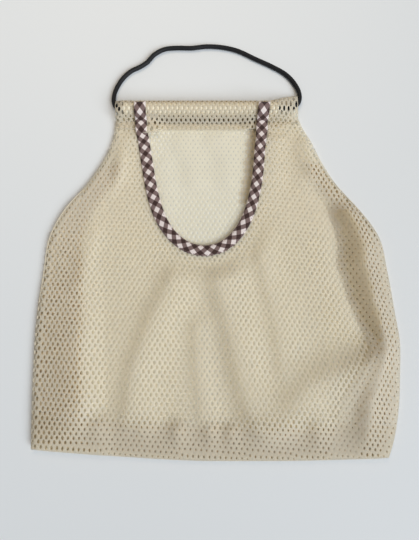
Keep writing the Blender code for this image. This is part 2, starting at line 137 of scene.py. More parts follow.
# %% Folds
def nearest(across, up, line):
    """Distance to a line of points, its side and the place along it.

    The side is the sine of the angle to the line: -1 square to its right, 1 square to its left, and in
    between past its ends.
    """
    along = run_length(line)
    best = np.full(np.shape(across), np.inf)
    side = np.ones(np.shape(across))
    place = np.zeros(np.shape(across))
    for index, (start, end) in enumerate(zip(line[:-1], line[1:])):
        step = end - start
        span = np.hypot(*step)
        t = np.clip(((across - start[0]) * step[0] + (up - start[1]) * step[1]) / (step @ step), 0, 1)
        out_x = across - start[0] - t * step[0]
        out_y = up - start[1] - t * step[1]
        distance = np.hypot(out_x, out_y)
        sine = (step[0] * out_y - step[1] * out_x) / (span * np.maximum(distance, 1e-6))
        closer = distance < best
        best = np.where(closer, distance, best)
        side = np.where(closer, sine, side)
        place = np.where(closer, along[index] + t * span, place)
    return best, side, place


def fold(rise, left, right, *crest, start=0.0):
    """A ridge, or a trough where rise is negative: its reach to both sides and its crest from the top."""
    return {"rise": rise, "reach": (left, right), "crest": np.array(crest, float), "start": start}


def ridge(across, up, shape):
    """A fold's height: its rise times e to the power of minus (distance / reach) squared."""
    distance, side, _ = nearest(across, up, shape["crest"])
    left, right = shape["reach"]
    reach = left + (right - left) * (1 + side) / 2
    return shape["rise"] * np.exp(-((distance / reach) ** 2))


def world(points):
    """Places on the bag, in rows of millimetres, as rows of metres in the scene."""
    return (points + (0, BOTTOM_SEAM, 0)) * MM

# %% [markdown]
# ## The bag's outline and folds
#
# The outline narrows from the hips to the casing. The front panel lies over the folded gusset along both
# sides and the bottom, steps down inside the gusset's fold, and is rucked into soft folds by its own
# slack. The folds are listed as crest lines with a rise and two reaches, steep on one side and gentle on
# the other, because cloth pushed sideways leans over like a wave.

# %% Sizes of the bag
CLOTH = 1.0  # a layer of cloth in the construction model
GAP = 0.3  # between two layers
LAYER = CLOTH + GAP
FLOOR_LEVEL = CLOTH / 2  # the middle of the back panel
SEAT = FLOOR_LEVEL + LAYER  # the middle of the layer on top of it
BELLY = 3.4  # the front panel between its folds
BINDING_WIDTH = 11.7
BINDING_SLOT = 1.8  # inside the folded binding
SLOT_LEVEL = CLOTH + LAYER + BINDING_SLOT / 2
GUSSET_BOTTOM_WIDTH = 31.0  # from the bottom seam to the gusset's fold
GUSSET_TOP = 312.0
HIPS = 130.0  # below them the left margin stands fuller, and above them it lies flatter

OUTLINE = table(
    ("up", "left", "right"),
    (0, -187, 171),
    (16, -187.5, 177),
    (50, -189, 185),
    (84, -190, 188.5),
    (118, -190.5, 190.5),
    (150, -189.5, 187),
    (192, -186, 182),
    (232, -181, 174),
    (262, -166, 154),
    (290, -143, 131),
    (314, -128, 117),
    (340, -117, 105),
    (362, -114, 94),
    (394, -113, 91),
)
LEFT_CORNER = {"start": -10.0, "run": 178.0, "rise": 11.5, "power": 1.4}
RIGHT_CORNER = {"start": 60.0, "run": 112.0, "rise": 3.0, "power": 1.6}

GUSSET = table(
    ("up", "left_width", "right_width"),
    (32, 52, 44),
    (60, 52, 42),
    (90, 51, 30),
    (110, 50, 23),
    (130, 50, 26),
    (160, 47, 32),
    (200, 42, 36),
    (237, 35, 30),
    (265, 32, 22),
    (300, 26, 20),
    (345, 17, 16),
)
MARGIN = table(
    ("inset", "left", "bottom", "right"),
    (0.00, 4.9, 4.9, 4.9),
    (0.06, 5.4, 5.1, 5.4),
    (0.30, 6.9, 5.1, 8.2),
    (0.50, 7.9, 5.0, 11.0),
    (0.66, 8.5, 4.9, 12.9),
    (0.76, 8.7, 4.8, 12.8),
    (0.97, 8.8, 4.7, 9.6),
    (1.10, 7.8, 4.5, 7.4),
    (1.45, BELLY, 3.9, 3.0),
    (2.00, BELLY, BELLY, BELLY),
)
print("the bag is", round(OUTLINE["right"].max() - OUTLINE["left"].min()), "mm wide at its hips")

# %% Folds and the mouth's line
# Rise, reach to the left and to the right, and the crest. start is the inset where the fold begins to
# rise: 0.5 keeps it off the margin, 0.05 lets it run on to the seam.
FOLDS = (
    fold(6.0, 12, 26, (-33, 210), (-67, 141), (-84, 94), (-89, 54), (-89, 30), start=0.5),
    fold(9.0, 14, 28, (-4, 206), (14, 138), (25, 86), (36, 46), (50, 22), start=0.2),
    fold(3.6, 9, 15, (-21, 130), (-19, 92), (-14, 44), start=0.5),
    fold(4.2, 9, 20, (43, 228), (57, 167), (65, 125), (68, 92), start=0.5),
    fold(9.5, 19, 34, (168, 98), (126, 84), (97, 73), (84, 60), start=0.5),
    fold(-2.1, 24, 14, (118, 262), (126, 232), (132, 193), (142, 156), (155, 124), start=0.5),
    fold(2.6, 34, 12, (-146, 120), (-143, 70), (-140, 30), start=0.1),
    fold(1.8, 11, 8, (-131, 236), (-142, 200), (-147, 178), start=0.1),
    fold(3.2, 8, 12, (-122, 32), (-119, 8), start=0.05),
    fold(1.6, 8, 12, (-76, 30), (-74, 8), start=0.05),
    fold(3.6, 8, 10, (-41, 30), (-38, 4), start=0.05),
    fold(2.8, 7, 9, (-8, 30), (-5, 2), start=0.05),
    fold(2.4, 7, 8, (13, 28), (16, 2), start=0.05),
    fold(4.0, 10, 14, (102, 32), (104, 4), start=0.05),
    fold(2.0, 10, 12, (154, 60), (150, 10), start=0.05),
)
SHOULDER_FOLDS = (
    fold(2.4, 13, 9, (96, 348), (100, 326), (104, 300)),
    fold(1.8, 9, 12, (-101, 338), (-102, 300)),
)
MOUTH = table(
    ("across", "up", "height"),
    (-84.6, 353, 5.3),
    (-82.4, 343.5, 1.8),
    (-79.8, 328, 1.3),
    (-76.7, 310, 1.3),
    (-72.9, 289, 1.3),
    (-68.0, 269, 1.3),
    (-60.4, 249, 1.3),
    (-47.4, 230.3, 1.3),
    (-31, 218.4, 1.3),
    (-14, 214.8, 1.3),
    (3, 218, 1.3),
    (18.2, 228.6, 1.3),
    (29.2, 243.6, 1.3),
    (37, 262, 1.6),
    (42.4, 283, 3.0),
    (45.8, 305, 4.2),
    (47.6, 326, 4.0),
    (49.4, 341, 4.3),
    (50.6, 352.5, 5.3),
)
MOUTH_LINE = curve_through(MOUTH, 4.0)
print("the mouth's edge is", round(run_length(MOUTH_LINE)[-1]), "mm long")


# %% The outline and the gusset's width
def left_edge(up):
    """How far across the left seam lies at a place up the bag."""
    return smooth(up, OUTLINE["up"], OUTLINE["left"])


def right_edge(up):
    """How far across the right seam lies at a place up the bag."""
    return smooth(up, OUTLINE["up"], OUTLINE["right"])


def bottom_edge(across):
    """The bottom seam sags: it is lowest a little right of the middle and rises to both corners."""
    left, right = LEFT_CORNER, RIGHT_CORNER
    to_left = np.clip((left["start"] - across) / left["run"], 0, 1)
    to_right = np.clip((across - right["start"]) / right["run"], 0, 1)
    return left["rise"] * to_left ** left["power"] + right["rise"] * to_right ** right["power"]


def gusset_width(up, side):
    """The folded gusset's width on one side, from the seam to the fold, between the rows of its table."""
    return np.interp(up, GUSSET["up"], GUSSET[side])


def insets(across, up):
    """From the left side, the bottom and the right side: 0 on the seam, 1 on the gusset's fold."""
    from_left = (across - left_edge(up)) / gusset_width(up, "left_width")
    from_bottom = (up - bottom_edge(across)) / GUSSET_BOTTOM_WIDTH
    from_right = (right_edge(up) - across) / gusset_width(up, "right_width")
    return {"left": from_left, "bottom": from_bottom, "right": from_right}


def sewn_edges(top):
    """The panels' sewn edge: down the left side from the top, along the bottom and up the right side."""
    left_up = np.linspace(top, bottom_edge(left_edge(0)), 400)
    right_up = np.linspace(bottom_edge(right_edge(0)), top, 400)
    across = np.linspace(left_edge(0), right_edge(0), 400)
    left = np.column_stack((left_edge(left_up), left_up))
    bottom = np.column_stack((across, bottom_edge(across)))
    right = np.column_stack((right_edge(right_up), right_up))
    return left, bottom, right


print("the bottom edge is", round(run_length(sewn_edges(GUSSET_TOP)[1])[-1]), "mm long")


# %% The front panel's height
def fullness(across, up):
    """How much of its height the margin keeps: more low on the left side, less high on both sides."""
    on_left = 0.8 * ease(across, -100, -120)
    on_right = 0.7 * ease(across, 70, 90)
    low = 1 + on_left * ease(up, HIPS, HIPS - 120)
    high = 1 - on_left * ease(up, HIPS, HIPS + 90)
    return low * high * (1 - on_right * ease(up, 252, 272))


def front_height(across, up):
    """The front panel's middle height: a margin over the gusset, bell-shaped folds, level at the mouth."""
    sides = insets(across, up)
    edge = np.min(list(sides.values()), axis=0)
    nearness = {side: np.exp(-4 * (sides[side] - edge)) for side in sides}
    height = sum(nearness[side] * np.interp(sides[side], MARGIN["inset"], MARGIN[side]) for side in sides)
    height = height / sum(nearness.values())
    height = SLOT_LEVEL + (height - SLOT_LEVEL) * fullness(across, up)
    for shape in FOLDS:
        height = height + ridge(across, up, shape) * ease(edge - shape["start"])
    height = SLOT_LEVEL + (height - SLOT_LEVEL) * ease(up, 350, 306)
    distance, _, place = nearest(across, up, MOUTH_LINE[:, :2])
    slot = np.interp(place, run_length(MOUTH_LINE[:, :2]), MOUTH_LINE[:, 2]) + CLOTH + BINDING_SLOT / 2
    slot = slot + (SLOT_LEVEL - slot) * ease(up, 338, 352)
    height = slot + (height - slot) * ease(distance, 14, 38)
    for shape in SHOULDER_FOLDS:
        height = height + ridge(across, up, shape) * ease(up, 348, 334)
    return height


highest = max(front_height(*shape["crest"].T).max() for shape in FOLDS)
print("the highest fold of the front panel stands", round(highest, 1), "mm above the floor")

# %% [markdown]
# ## Camera and cord first
#
# The camera looks almost straight down from above the bag's lower half, close enough that the bottom of
# the bag looks a little larger than the top. The cord comes next, because its real length settles how
# far the handle reaches. A braided cord is round, so it is a tube carried along the smooth curve through
# the route's points. Its braid is modelled as small diagonal ridges on the tube, since a picture of a
# braid on a smooth tube would lose its rough outline.

# %% Camera
camera_data = bpy.data.cameras.new("camera")
camera_data.lens = 28.0
camera = bpy.data.objects.new("camera", camera_data)
camera.location = (-0.008, -0.0675, 0.4494)
camera.rotation_euler = (math.radians(8.2), 0.0, 0.0)
bpy.context.collection.objects.link(camera)
bpy.context.scene.camera = camera
print("camera", round(camera.location.z * 1000), "mm above the floor")


# %% Meshes and tubes
def make_mesh(name, points, faces, material):
    """One object at the origin from points on the bag and lists of corner numbers, shaded smooth."""
    mesh = bpy.data.meshes.new(name)
    mesh.from_pydata(world(points.reshape(-1, 3)).tolist(), [], faces)
    mesh.polygons.foreach_set("use_smooth", np.ones(len(faces), bool))
    mesh.materials.append(material)
    piece = bpy.data.objects.new(name, mesh)
    bpy.context.collection.objects.link(piece)
    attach(piece, "root")
    return piece


def add_uv(piece, name, places, moved=slice(0)):
    """A UV map from a pair of numbers for each vertex, with some corners moved half a map to the right."""
    mesh = piece.data
    corners = np.empty(len(mesh.loops), int)
    mesh.loops.foreach_get("vertex_index", corners)
    places = places[corners]
    places[moved, 0] += 0.5
    mesh.uv_layers.new(name=name).data.foreach_set("uv", places.ravel())


def square_to(forward):
    """For each arrow, one sideways and level and one upwards, both square to it and 1 long."""
    level = unit(np.cross(forward, (0, 0, 1.0)))
    return level, np.cross(level, forward)


def circles(level, rise, angle):
    """Arrows round each pair: cosine of the angle x the level one + sine x the rising one."""
    return np.cos(angle)[:, None] * level[:, None] + np.sin(angle)[:, None] * rise[:, None]


def rings_round(path, angle, radius):
    """Points round each point of a path, at a radius from it."""
    level, rise = square_to(unit(np.gradient(path, axis=0)))
    return path[:, None] + radius[..., None] * circles(level, rise, angle)


def tube_faces(rings, sides):
    """Four-cornered outward faces of a tube's wall, whose vertices run round each ring in turn."""
    ring = np.arange(rings - 1)[:, None] * sides
    side = np.arange(sides)[None]
    after = (side + 1) % sides
    walls = np.stack((ring + sides + side, ring + sides + after, ring + after, ring + side), axis=-1)
    return walls.reshape(-1, 4).tolist()


# %% Colours and materials
def linear(code):
    """An sRGB hex colour as the linear red, green, blue and alpha that Blender's shaders use."""
    value = np.array([int(code[n : n + 2], 16) for n in (1, 3, 5)]) / 255
    value = np.where(value <= 0.04045, value / 12.92, ((value + 0.055) / 1.055) ** 2.4)
    return (*value.tolist(), 1.0)


def add_node(tree, kind, settings=None, links=None):
    """Adds one shader node, sets its values by name or number and links its inputs to other nodes."""
    node = tree.nodes.new("ShaderNode" + kind)
    for name, value in (settings or {}).items():
        if isinstance(name, int) or name in node.inputs:
            node.inputs[name].default_value = value
        else:
            setattr(node, name, value)
    for name, (source, output) in (links or {}).items():
        tree.links.new(source.outputs[output], node.inputs[name])
    return node


def new_material(name):
    """A material with an empty node tree, and that tree."""
    material = bpy.data.materials.new(name)
    material.use_nodes = True
    material.node_tree.nodes.clear()
    return material, material.node_tree


# %% The cord's route and braid
CORD_DIAMETER = 5.0
# From the inside of the tube out at its left end, round the handle and back in at the right end
CORD = table(
    ("across", "up", "height"),
    (-88, 375.6, 8.0),
    (-98, 375.7, 8.0),
    (-106.4, 376.2, 7.4),
    (-113.6, 379.6, 5.9),
    (-116.6, 386.4, 4.4),
    (-116.6, 396, 3.2),
    (-112.5, 408, 2.8),
    (-106, 418, 2.8),
    (-98, 425.5, 2.8),
    (-88, 430.8, 2.8),
    (-80, 436.5, 2.8),
    (-72, 446, 2.8),
    (-61, 452.6, 2.8),
    (-46, 454.6, 2.8),
    (-29, 454.4, 2.8),
    (-12, 456.4, 2.8),
    (6, 455.4, 2.8),
    (23, 451.4, 2.8),
    (46, 440, 2.8),
    (65, 430.5, 2.8),
    (80, 421, 2.8),
    (90, 409, 2.8),
    (94.4, 398, 3.2),
    (94.4, 389.6, 4.0),
    (91.2, 382.8, 4.7),
    (84.4, 378.9, 5.8),
    (76, 377.0, 7.2),
    (66, 376.3, 7.9),
    (20, 376.0, 8.0),
    (-30, 375.8, 8.0),
    (-70, 375.6, 8.0),
    (-86.4, 375.6, 8.0),
)
BRAID_STRANDS = 6  # ridges that run each way round the cord
BRAID_LAY = 13.0  # length in which a strand goes once round
CORD_GRAIN = 900.0  # patches in a metre: about 1.1 mm each, coarser than the filaments so that they show


# %% Braided polyester
def braided_polyester():
    """Black polyester filament, braided: dark, with a soft satin shine along each small ridge."""
    material, tree = new_material("braided_polyester_black")
    place = add_node(tree, "TexCoord")
    fibre = add_node(tree, "TexNoise", {"Scale": CORD_GRAIN, "Detail": 2.0}, {"Vector": (place, "Object")})
    shades = {"data_type": "RGBA", 6: linear("#08080a"), 7: linear("#17171a")}
    tone = add_node(tree, "Mix", shades, {0: (fibre, "Fac")})
    bump = add_node(tree, "Bump", {"Strength": 0.25, "Distance": 0.0002}, {"Height": (fibre, "Fac")})
    satin = {"Roughness": 0.6, "Specular IOR Level": 0.3, "Sheen Weight": 0.04, "Sheen Roughness": 0.5}
    links = {"Base Color": (tone, 2), "Normal": (bump, "Normal")}
    shader = add_node(tree, "BsdfPrincipled", satin, links)
    add_node(tree, "OutputMaterial", None, {"Surface": (shader, "BSDF")})
    return material


# %% Cord
def braided_cord():
    """A tube whose radius rises on two sets of diagonal ridges, wound left and right round it.

    radius = half the diameter x (0.94 + 0.08 x the higher of the two ridges), where each ridge is the
    positive half of a sine of (strands x angle round the cord +/- turns along it).
    """
    sides = 24
    path = curve_through(CORD, 0.8)
    angle = np.linspace(0, 2 * math.pi, sides, endpoint=False)
    turn = 2 * math.pi * run_length(path)[:, None] / BRAID_LAY * BRAID_STRANDS
    strand = np.maximum(np.sin(BRAID_STRANDS * angle + turn), np.sin(BRAID_STRANDS * angle - turn))
    radius = CORD_DIAMETER / 2 * (0.94 + 0.08 * np.clip(strand, 0, 1))
    wall = rings_round(path, angle, radius).reshape(-1, 3)
    points = np.vstack((wall, path[[0, -1]]))
    turnings = np.arange(sides)
    after = (turnings + 1) % sides
    last = len(wall) - sides
    start_cap = np.column_stack((np.full(sides, len(wall)), after, turnings))[:, ::-1]
    end_cap = np.column_stack((np.full(sides, len(wall) + 1), last + turnings, last + after))[:, ::-1]
    faces = tube_faces(len(path), sides) + start_cap.tolist() + end_cap.tolist()
    return make_mesh("cord_braid", points, faces, braided_polyester()), world(path)


cord, cord_path = braided_cord()
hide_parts("cord")

# %% [markdown]
# ## Knitting the mesh
#
# The cloth is a warp-knitted net: upright oval holes in staggered rows, about five millimetres apart.
# It could be a flat sheet with a picture of holes, but then nothing would show through them, and the
# bag's whole look comes from layers seen through layers. So the holes are real. Each hole sits in a
# six-sided cell that shares its corners with its neighbours, as in a honeycomb. The corners stand proud
# on both faces and the hole's rim lies between them, so each strand is a soft ridge. One function knits
# any piece: it takes the middles of the holes, the line along which the cloth is cut, and a rule that lays
# the flat cloth out in space.

# %% Sizes of the net
PITCH = 5.4  # from hole to hole along a row
ROW = 4.6  # from row to row
HOLE_WIDTH, HOLE_HEIGHT = 2.4, 4.3
YARN = 0.6  # thickness of the knitted cloth
KEEP = 0.36 * PITCH  # a hole this close to the cut edge is lost in the seam

# Each corner of a cell lies as far from its own hole's middle as from its two neighbours'
SIDE = (ROW**2 - PITCH**2 / 4) / (2 * ROW)
PEAK = (ROW**2 + PITCH**2 / 4) / (2 * ROW)
HALF = PITCH / 2
CELL = np.array(((HALF, SIDE), (0, PEAK), (-HALF, SIDE), (-HALF, -SIDE), (0, -PEAK), (HALF, -SIDE)))
RIM_ANGLES = np.radians(np.arange(0, 360, 45))
RIM = np.column_stack((HOLE_WIDTH / 2 * np.cos(RIM_ANGLES), HOLE_HEIGHT / 2 * np.sin(RIM_ANGLES)))
# Triangles between the rim (0 to 7) and the cell's corners (8 to 13)
WEB = np.array(
    ((0, 8, 1), (8, 9, 1), (1, 9, 2), (2, 9, 3), (9, 10, 3), (3, 10, 4), (10, 11, 4),
     (4, 11, 5), (11, 12, 5), (5, 12, 6), (6, 12, 7), (12, 13, 7), (7, 13, 0), (13, 8, 0))
)
print("one hole in every", round(PITCH * ROW, 1), "square millimetres")


# %% Holes inside a cut line
def inside_line(points, line, keep):
    """Which points lie inside a closed line and farther than keep from it.

    A level line from a point inside to the far right crosses the closed line an odd number of times.
    """
    x, y = points.T[..., None]
    x1, y1 = line.T
    x2, y2 = np.roll(line, -1, axis=0).T
    crosses = (y1 > y) != (y2 > y)
    reach = x1 + (y - y1) * (x2 - x1) / np.where(y2 == y1, 1e-9, y2 - y1)
    inside = (crosses & (x < reach)).sum(axis=1) % 2 == 1
    return inside & (np.linalg.norm(points[:, None] - line, axis=2).min(axis=1) > keep)


def hole_middles(cut_line, keep=KEEP):
    """Staggered middles of the holes inside a closed cut line and farther than keep from it."""
    low, high = cut_line.min(axis=0), cut_line.max(axis=0)
    row = np.arange(int(low[1] / ROW) - 1, int(high[1] / ROW) + 2)
    column = np.arange(int(low[0] / PITCH) - 2, int(high[0] / PITCH) + 2)
    row, column = (grid.ravel() for grid in np.meshgrid(row, column))
    middles = np.column_stack(((column + 0.5 * (row % 2)) * PITCH, row * ROW))
    return middles[inside_line(middles, cut_line, keep)]


# %% The knitting function
def snap_to(points, line, corners):
    """Each border point moved to the nearest point of the cut line, and one onto each sharp corner."""
    gaps = np.linalg.norm(points[:, None] - line[None], axis=2)
    snapped = line[gaps.argmin(axis=1)]
    for corner in corners:
        snapped[np.linalg.norm(snapped - corner, axis=1).argmin()] = corner
    return snapped


def knit(name, middles, cut_line, corners, lay_out, material, seed, opening=1.0):
    """A closed net: a web of triangles on each face of every cell, and a wall along the cut edge.

    opening is the size of the holes as a share of the cloth's own, for each hole or for all.
    """
    chance = np.random.default_rng(seed)
    spread = (middles[:, None] + CELL).reshape(-1, 2)
    keys, number, count = np.unique(
        np.round(spread * 100).astype(int), axis=0, return_inverse=True, return_counts=True
    )
    number = number.reshape(-1, 6)
    flat = keys / 100.0
    border = count < 3
    flat[border] = snap_to(flat[border], cut_line, corners)

    cell = flat[number]
    stretch = np.clip(np.ptp(cell, axis=1) / np.ptp(CELL, axis=0), 0.5, 1.2)
    uneven = chance.uniform(0.93, 1.07, (len(middles), 2))
    lean = chance.normal(0, 0.05, (len(middles), 1))
    open_by = stretch * uneven * np.reshape(opening, (-1, 1))
    rims = cell.mean(axis=1)[:, None] + RIM * open_by[:, None]
    rims[..., 0] += lean * RIM[:, 1]

    places = np.vstack((flat, rims.reshape(-1, 2)))
    middle = lay_out(*places.T)
    step = 0.4
    across_step = lay_out(places[:, 0] + step, places[:, 1]) - lay_out(places[:, 0] - step, places[:, 1])
    along_step = lay_out(places[:, 0], places[:, 1] + step) - lay_out(places[:, 0], places[:, 1] - step)
    total = len(flat)
    proud = unit(np.cross(across_step, along_step)[:total]) * YARN / 2
    vertices = np.vstack((middle[:total] + proud, middle[:total] - proud, middle[total:]))

    rim_number = 2 * total + np.arange(8 * len(middles)).reshape(-1, 8)
    upper = np.hstack((rim_number, number))[:, WEB].reshape(-1, 3)
    under = np.hstack((rim_number, number + total))[:, WEB[:, ::-1]].reshape(-1, 3)
    start, end = number.ravel(), np.roll(number, -1, axis=1).ravel()
    _, first, uses = np.unique(
        np.sort(np.column_stack((start, end)), axis=1), axis=0, return_index=True, return_counts=True
    )
    open_edges = first[uses == 1]
    start, end = start[open_edges], end[open_edges]
    lower_half = np.column_stack((start + total, end + total, end))
    upper_half = np.column_stack((start + total, end, start))
    faces = np.vstack((upper, under, lower_half, upper_half)).tolist()
    piece = make_mesh(name, vertices, faces, material)

    edges = np.empty(2 * len(piece.data.edges), int)
    piece.data.edges.foreach_get("vertices", edges)
    on_rim = (edges.reshape(-1, 2) >= 2 * total).all(axis=1)
    piece.data.attributes.new("sharp_edge", "BOOLEAN", "EDGE").data.foreach_set("value", on_rim)

    # In a baked texture the upper faces have the left half and the under faces the right half
    low, high = flat.min(axis=0), flat.max(axis=0)
    share = (np.vstack((flat, flat, rims.reshape(-1, 2))) - low) / (high - low)
    under_corners = slice(3 * len(upper), 3 * (len(upper) + len(under)))
    add_uv(piece, "OFBake", share * (0.49, 0.98) + (0.005, 0.01), under_corners)
    piece["holes"] = len(middles)
    print(name, "has", len(middles), "holes and", len(faces), "triangles")
    return piece


def mix_in(piece, yarns, yarn_of_hole):
    """Knits the cells round some holes from further yarns, on both sides of the cloth."""
    for yarn in yarns:
        piece.data.materials.append(yarn)
    yarn_of_cell = np.repeat(np.asarray(yarn_of_hole, int), len(WEB))
    yarn_of_face = np.zeros(len(piece.data.polygons), int)
    yarn_of_face[: 2 * len(yarn_of_cell)] = np.tile(yarn_of_cell, 2)
    piece.data.polygons.foreach_set("material_index", yarn_of_face)


# %% [markdown]
# ### The finish of the mesh
#
# The yarn is a fine, pale polyester. Light bounces off it and also comes through it, which is why one
# layer on a white floor looks nearly white and four layers look tan; the browner yarns below add painted
# shade to that tan. A Principled shader gives the side that faces the light and a Translucent one gives
# what comes through, mixed about half and half.


# %% Knitted polyester
BLOTCH_GRAIN = 28.0  # patches in a metre: about 36 mm each, as washing leaves the cloth a little uneven
YARN_GRAIN = 1400.0  # about 0.7 mm each, a strand's width, because single filaments are too fine to show


def knitted_polyester(name, shade, light, through, share):
    """Beige filament yarn in two shades: matt, a little fuzzy, and a share of it lets light through."""
    material, tree = new_material("knitted_polyester_beige_" + name)
    place = add_node(tree, "TexCoord")
    patchy = {"Scale": BLOTCH_GRAIN, "Detail": 3.0, "Roughness": 0.6}
    blotch = add_node(tree, "TexNoise", patchy, {"Vector": (place, "Object")})
    fine = {"Scale": YARN_GRAIN, "Detail": 2.0}
    fibre = add_node(tree, "TexNoise", fine, {"Vector": (place, "Object")})
    shades = {"data_type": "RGBA", 6: linear(shade), 7: linear(light)}
    tone = add_node(tree, "Mix", shades, {0: (blotch, "Fac")})
    bump = add_node(tree, "Bump", {"Strength": 0.3, "Distance": 0.0002}, {"Height": (fibre, "Fac")})
    fuzzy = {"Roughness": 0.62, "Sheen Weight": 0.2, "Sheen Roughness": 0.4, "IOR": 1.45}
    links = {"Base Color": (tone, 2), "Normal": (bump, "Normal")}
    front = add_node(tree, "BsdfPrincipled", fuzzy, links)
    behind = add_node(tree, "BsdfTranslucent", {"Color": linear(through)})
    mixed = add_node(tree, "MixShader", {0: share}, {1: (front, "BSDF"), 2: (behind, "BSDF")})
    add_node(tree, "OutputMaterial", None, {"Surface": (mixed, "Shader")})
    return material

# %% Seven tones of yarn
# The palest yarns make the open panels. The browner ones are the same yarn with shade painted into its
# colour, where several layers lie close together and shade each other: the casing, the hem, the seams
# with the band at the bottom, and the gusset. They also paint the shade in the front's trough and inside
# the mouth's right edge, and the darkest is painted shade alone.
BACK_YARN = knitted_polyester("back", "#f6f0de", "#faf6e9", "#fffdf7", 0.66)
FRONT_YARN = knitted_polyester("front", "#f1ead8", "#f6f1e4", "#fdf9f0", 0.6)
CASING_YARN = knitted_polyester("casing", "#e6dcc7", "#ece4d2", "#f2ebdc", 0.5)
HEM_YARN = knitted_polyester("hem", "#dccfb0", "#e5dabf", "#eee4cc", 0.45)
SEAM_YARN = knitted_polyester("seam", "#e5dbc4", "#ede4d0", "#f4ecdc", 0.45)
GUSSET_YARN = knitted_polyester("gusset", "#e4d7b9", "#ece1c7", "#f4ebd5", 0.5)
# The darkest tone is painted shade alone, for the strip under the casing's seam
PAINTED_SHADE_YARN = knitted_polyester("shade", "#8a7654", "#9a8662", "#aa9672", 0.45)
print("seven tones of the same yarn")

# %% [markdown]
# ## The back panel
#
# One length of mesh lies flat on the floor, rolls forward over the plastic tube, and is sewn down again
# as a hem, so the casing and the panel are one cloth. It is laid out by its distance from the bottom
# seam: flat at first, then round an ellipse whose size changes along the tube, then flat again towards
# the bottom. Above the hips the rows lie closer, because there the cloth is slack.

# %% Sizes of the casing and the back panel
CASING = table(
    ("across", "middle", "half_width", "half_height", "hem"),
    (-113, 376.0, 9.6, 6.0, 354.2),
    (-105, 376.0, 8.5, 8.1, 354.2),
    (-90, 376.0, 8.1, 8.1, 354.2),
    (60, 376.0, 8.1, 8.1, 354.2),
    (70, 377.2, 9.4, 8.1, 356.0),
    (78, 378.6, 12.0, 6.2, 358.6),
    (91, 379.7, 13.8, 3.9, 361.5),
)
BACK_RIDGES = (
    fold(3.2, 6.5, 8, (48, 346), (46, 318), (43, 290), (39, 266)),
    fold(1.8, 12, 18, (-40, 340), (-30, 318), (-26, 296)),
    fold(1.8, 14, 18, (0, 344), (10, 318), (12, 298)),
    fold(1.0, 8, 14, (-60, 312), (-56, 270)),
)
SLACK_FROM, SLACK = 120.0, 0.965  # above this the rows lie at this share of their spacing
FAN = 0.02  # how much the columns close up from the bottom to the mouth

CASING_MIDDLE = CASING["middle"][2]
TO_CASING = SLACK_FROM + (CASING_MIDDLE - SLACK_FROM) / SLACK
CASING_RADIUS = CASING["half_width"][2]
ROUND_DEGREES = 240.0  # how far the cloth goes round the tube
ROUND_LENGTH = math.radians(ROUND_DEGREES) * CASING_RADIUS
SLOPE_LENGTH = 11.2  # straight down from the tube to the seam
CASING_FOOT = 4.6  # how far below the tube's side the seam runs
HEM_LENGTH = CASING_MIDDLE - CASING_RADIUS - CASING_FOOT - CASING["hem"][2]
BACK_LENGTH = TO_CASING + ROUND_LENGTH + SLOPE_LENGTH + HEM_LENGTH
print("the back panel and its casing take", round(BACK_LENGTH), "mm of cloth")


# %% Laying out the back panel
def up_along(along):
    """How far up the bag a point of the cloth lies, from its distance along the cloth."""
    return np.minimum(along, SLACK_FROM) + np.maximum(along - SLACK_FROM, 0) * SLACK


def along_up(up):
    """The distance along the cloth of a place up the bag."""
    return np.minimum(up, SLACK_FROM) + np.maximum(up - SLACK_FROM, 0) / SLACK


def fan(up):
    """How far apart the columns lie, as a share of their spacing in the flat cloth."""
    return 1.0 + FAN * (0.5 - ease(up, 0, 260))


def hem_level(across):
    """The hem lies on the back panel inside the mouth and on the front panel's shoulders beside it."""
    on_shoulder = np.maximum(ease(across, -56, -70), ease(across, 24, 38))
    return SEAT + (SLOT_LEVEL + LAYER - SEAT) * on_shoulder


def back_ridges(across, up):
    """The back panel lies flat but for a few soft wrinkles inside the mouth."""
    return sum(ridge(across, up, shape) for shape in BACK_RIDGES) * ease(up, 362, 342)


def lay_back(side, along):
    """Flat up to the casing, round the tube, straight down to the seam, then flat to the hem's edge."""
    up = up_along(np.minimum(along, TO_CASING))
    across = side * fan(up)
    section = {name: np.interp(across, CASING["across"], CASING[name]) for name in CASING}
    straight = up * (section["middle"] / CASING_MIDDLE) ** ease(up, 300, 377)
    turn = np.clip((along - TO_CASING) / ROUND_LENGTH, 0, 1)
    angle = np.radians(turn * ROUND_DEGREES - 90)
    up = np.where(turn > 0, section["middle"] + section["half_width"] * np.cos(angle), straight)
    height = FLOOR_LEVEL + section["half_height"] * (1 + np.sin(angle))
    past = along - TO_CASING - ROUND_LENGTH
    slope = np.clip(past / SLOPE_LENGTH, 0, 1)
    hem = np.clip((past - SLOPE_LENGTH) / HEM_LENGTH, 0, 1)
    foot = section["middle"] - section["half_width"] - CASING_FOOT
    up = up + (foot - up) * slope + (section["hem"] - foot) * hem
    height = height + (hem_level(across) - height) * slope
    height = height + np.where(turn > 0, 0, back_ridges(across, up))
    return np.column_stack((across, up, height))


def flat_cloth(line):
    """Places on a panel's cut edge as places in its flat cloth."""
    return np.column_stack((line[:, 0] / fan(line[:, 1]), along_up(line[:, 1])))

# %% The back panel's cut line
left_line, bottom_line, right_line = map(flat_cloth, sewn_edges(CASING_MIDDLE))
back_left, back_right = left_line[0, 0], right_line[-1, 0]
left_casing = np.linspace((back_left, BACK_LENGTH), (back_left, TO_CASING), 60)
right_casing = np.linspace((back_right, TO_CASING), (back_right, BACK_LENGTH), 60)
hem_edge = np.linspace((back_right, BACK_LENGTH), (back_left, BACK_LENGTH), 200)
back_cut = np.vstack((left_casing, left_line, bottom_line, right_line, right_casing, hem_edge))
back_corners = (left_casing[0], left_line[-1], right_line[0], right_casing[-1])
print("the back panel is", round(back_right - back_left), "mm wide at the casing")

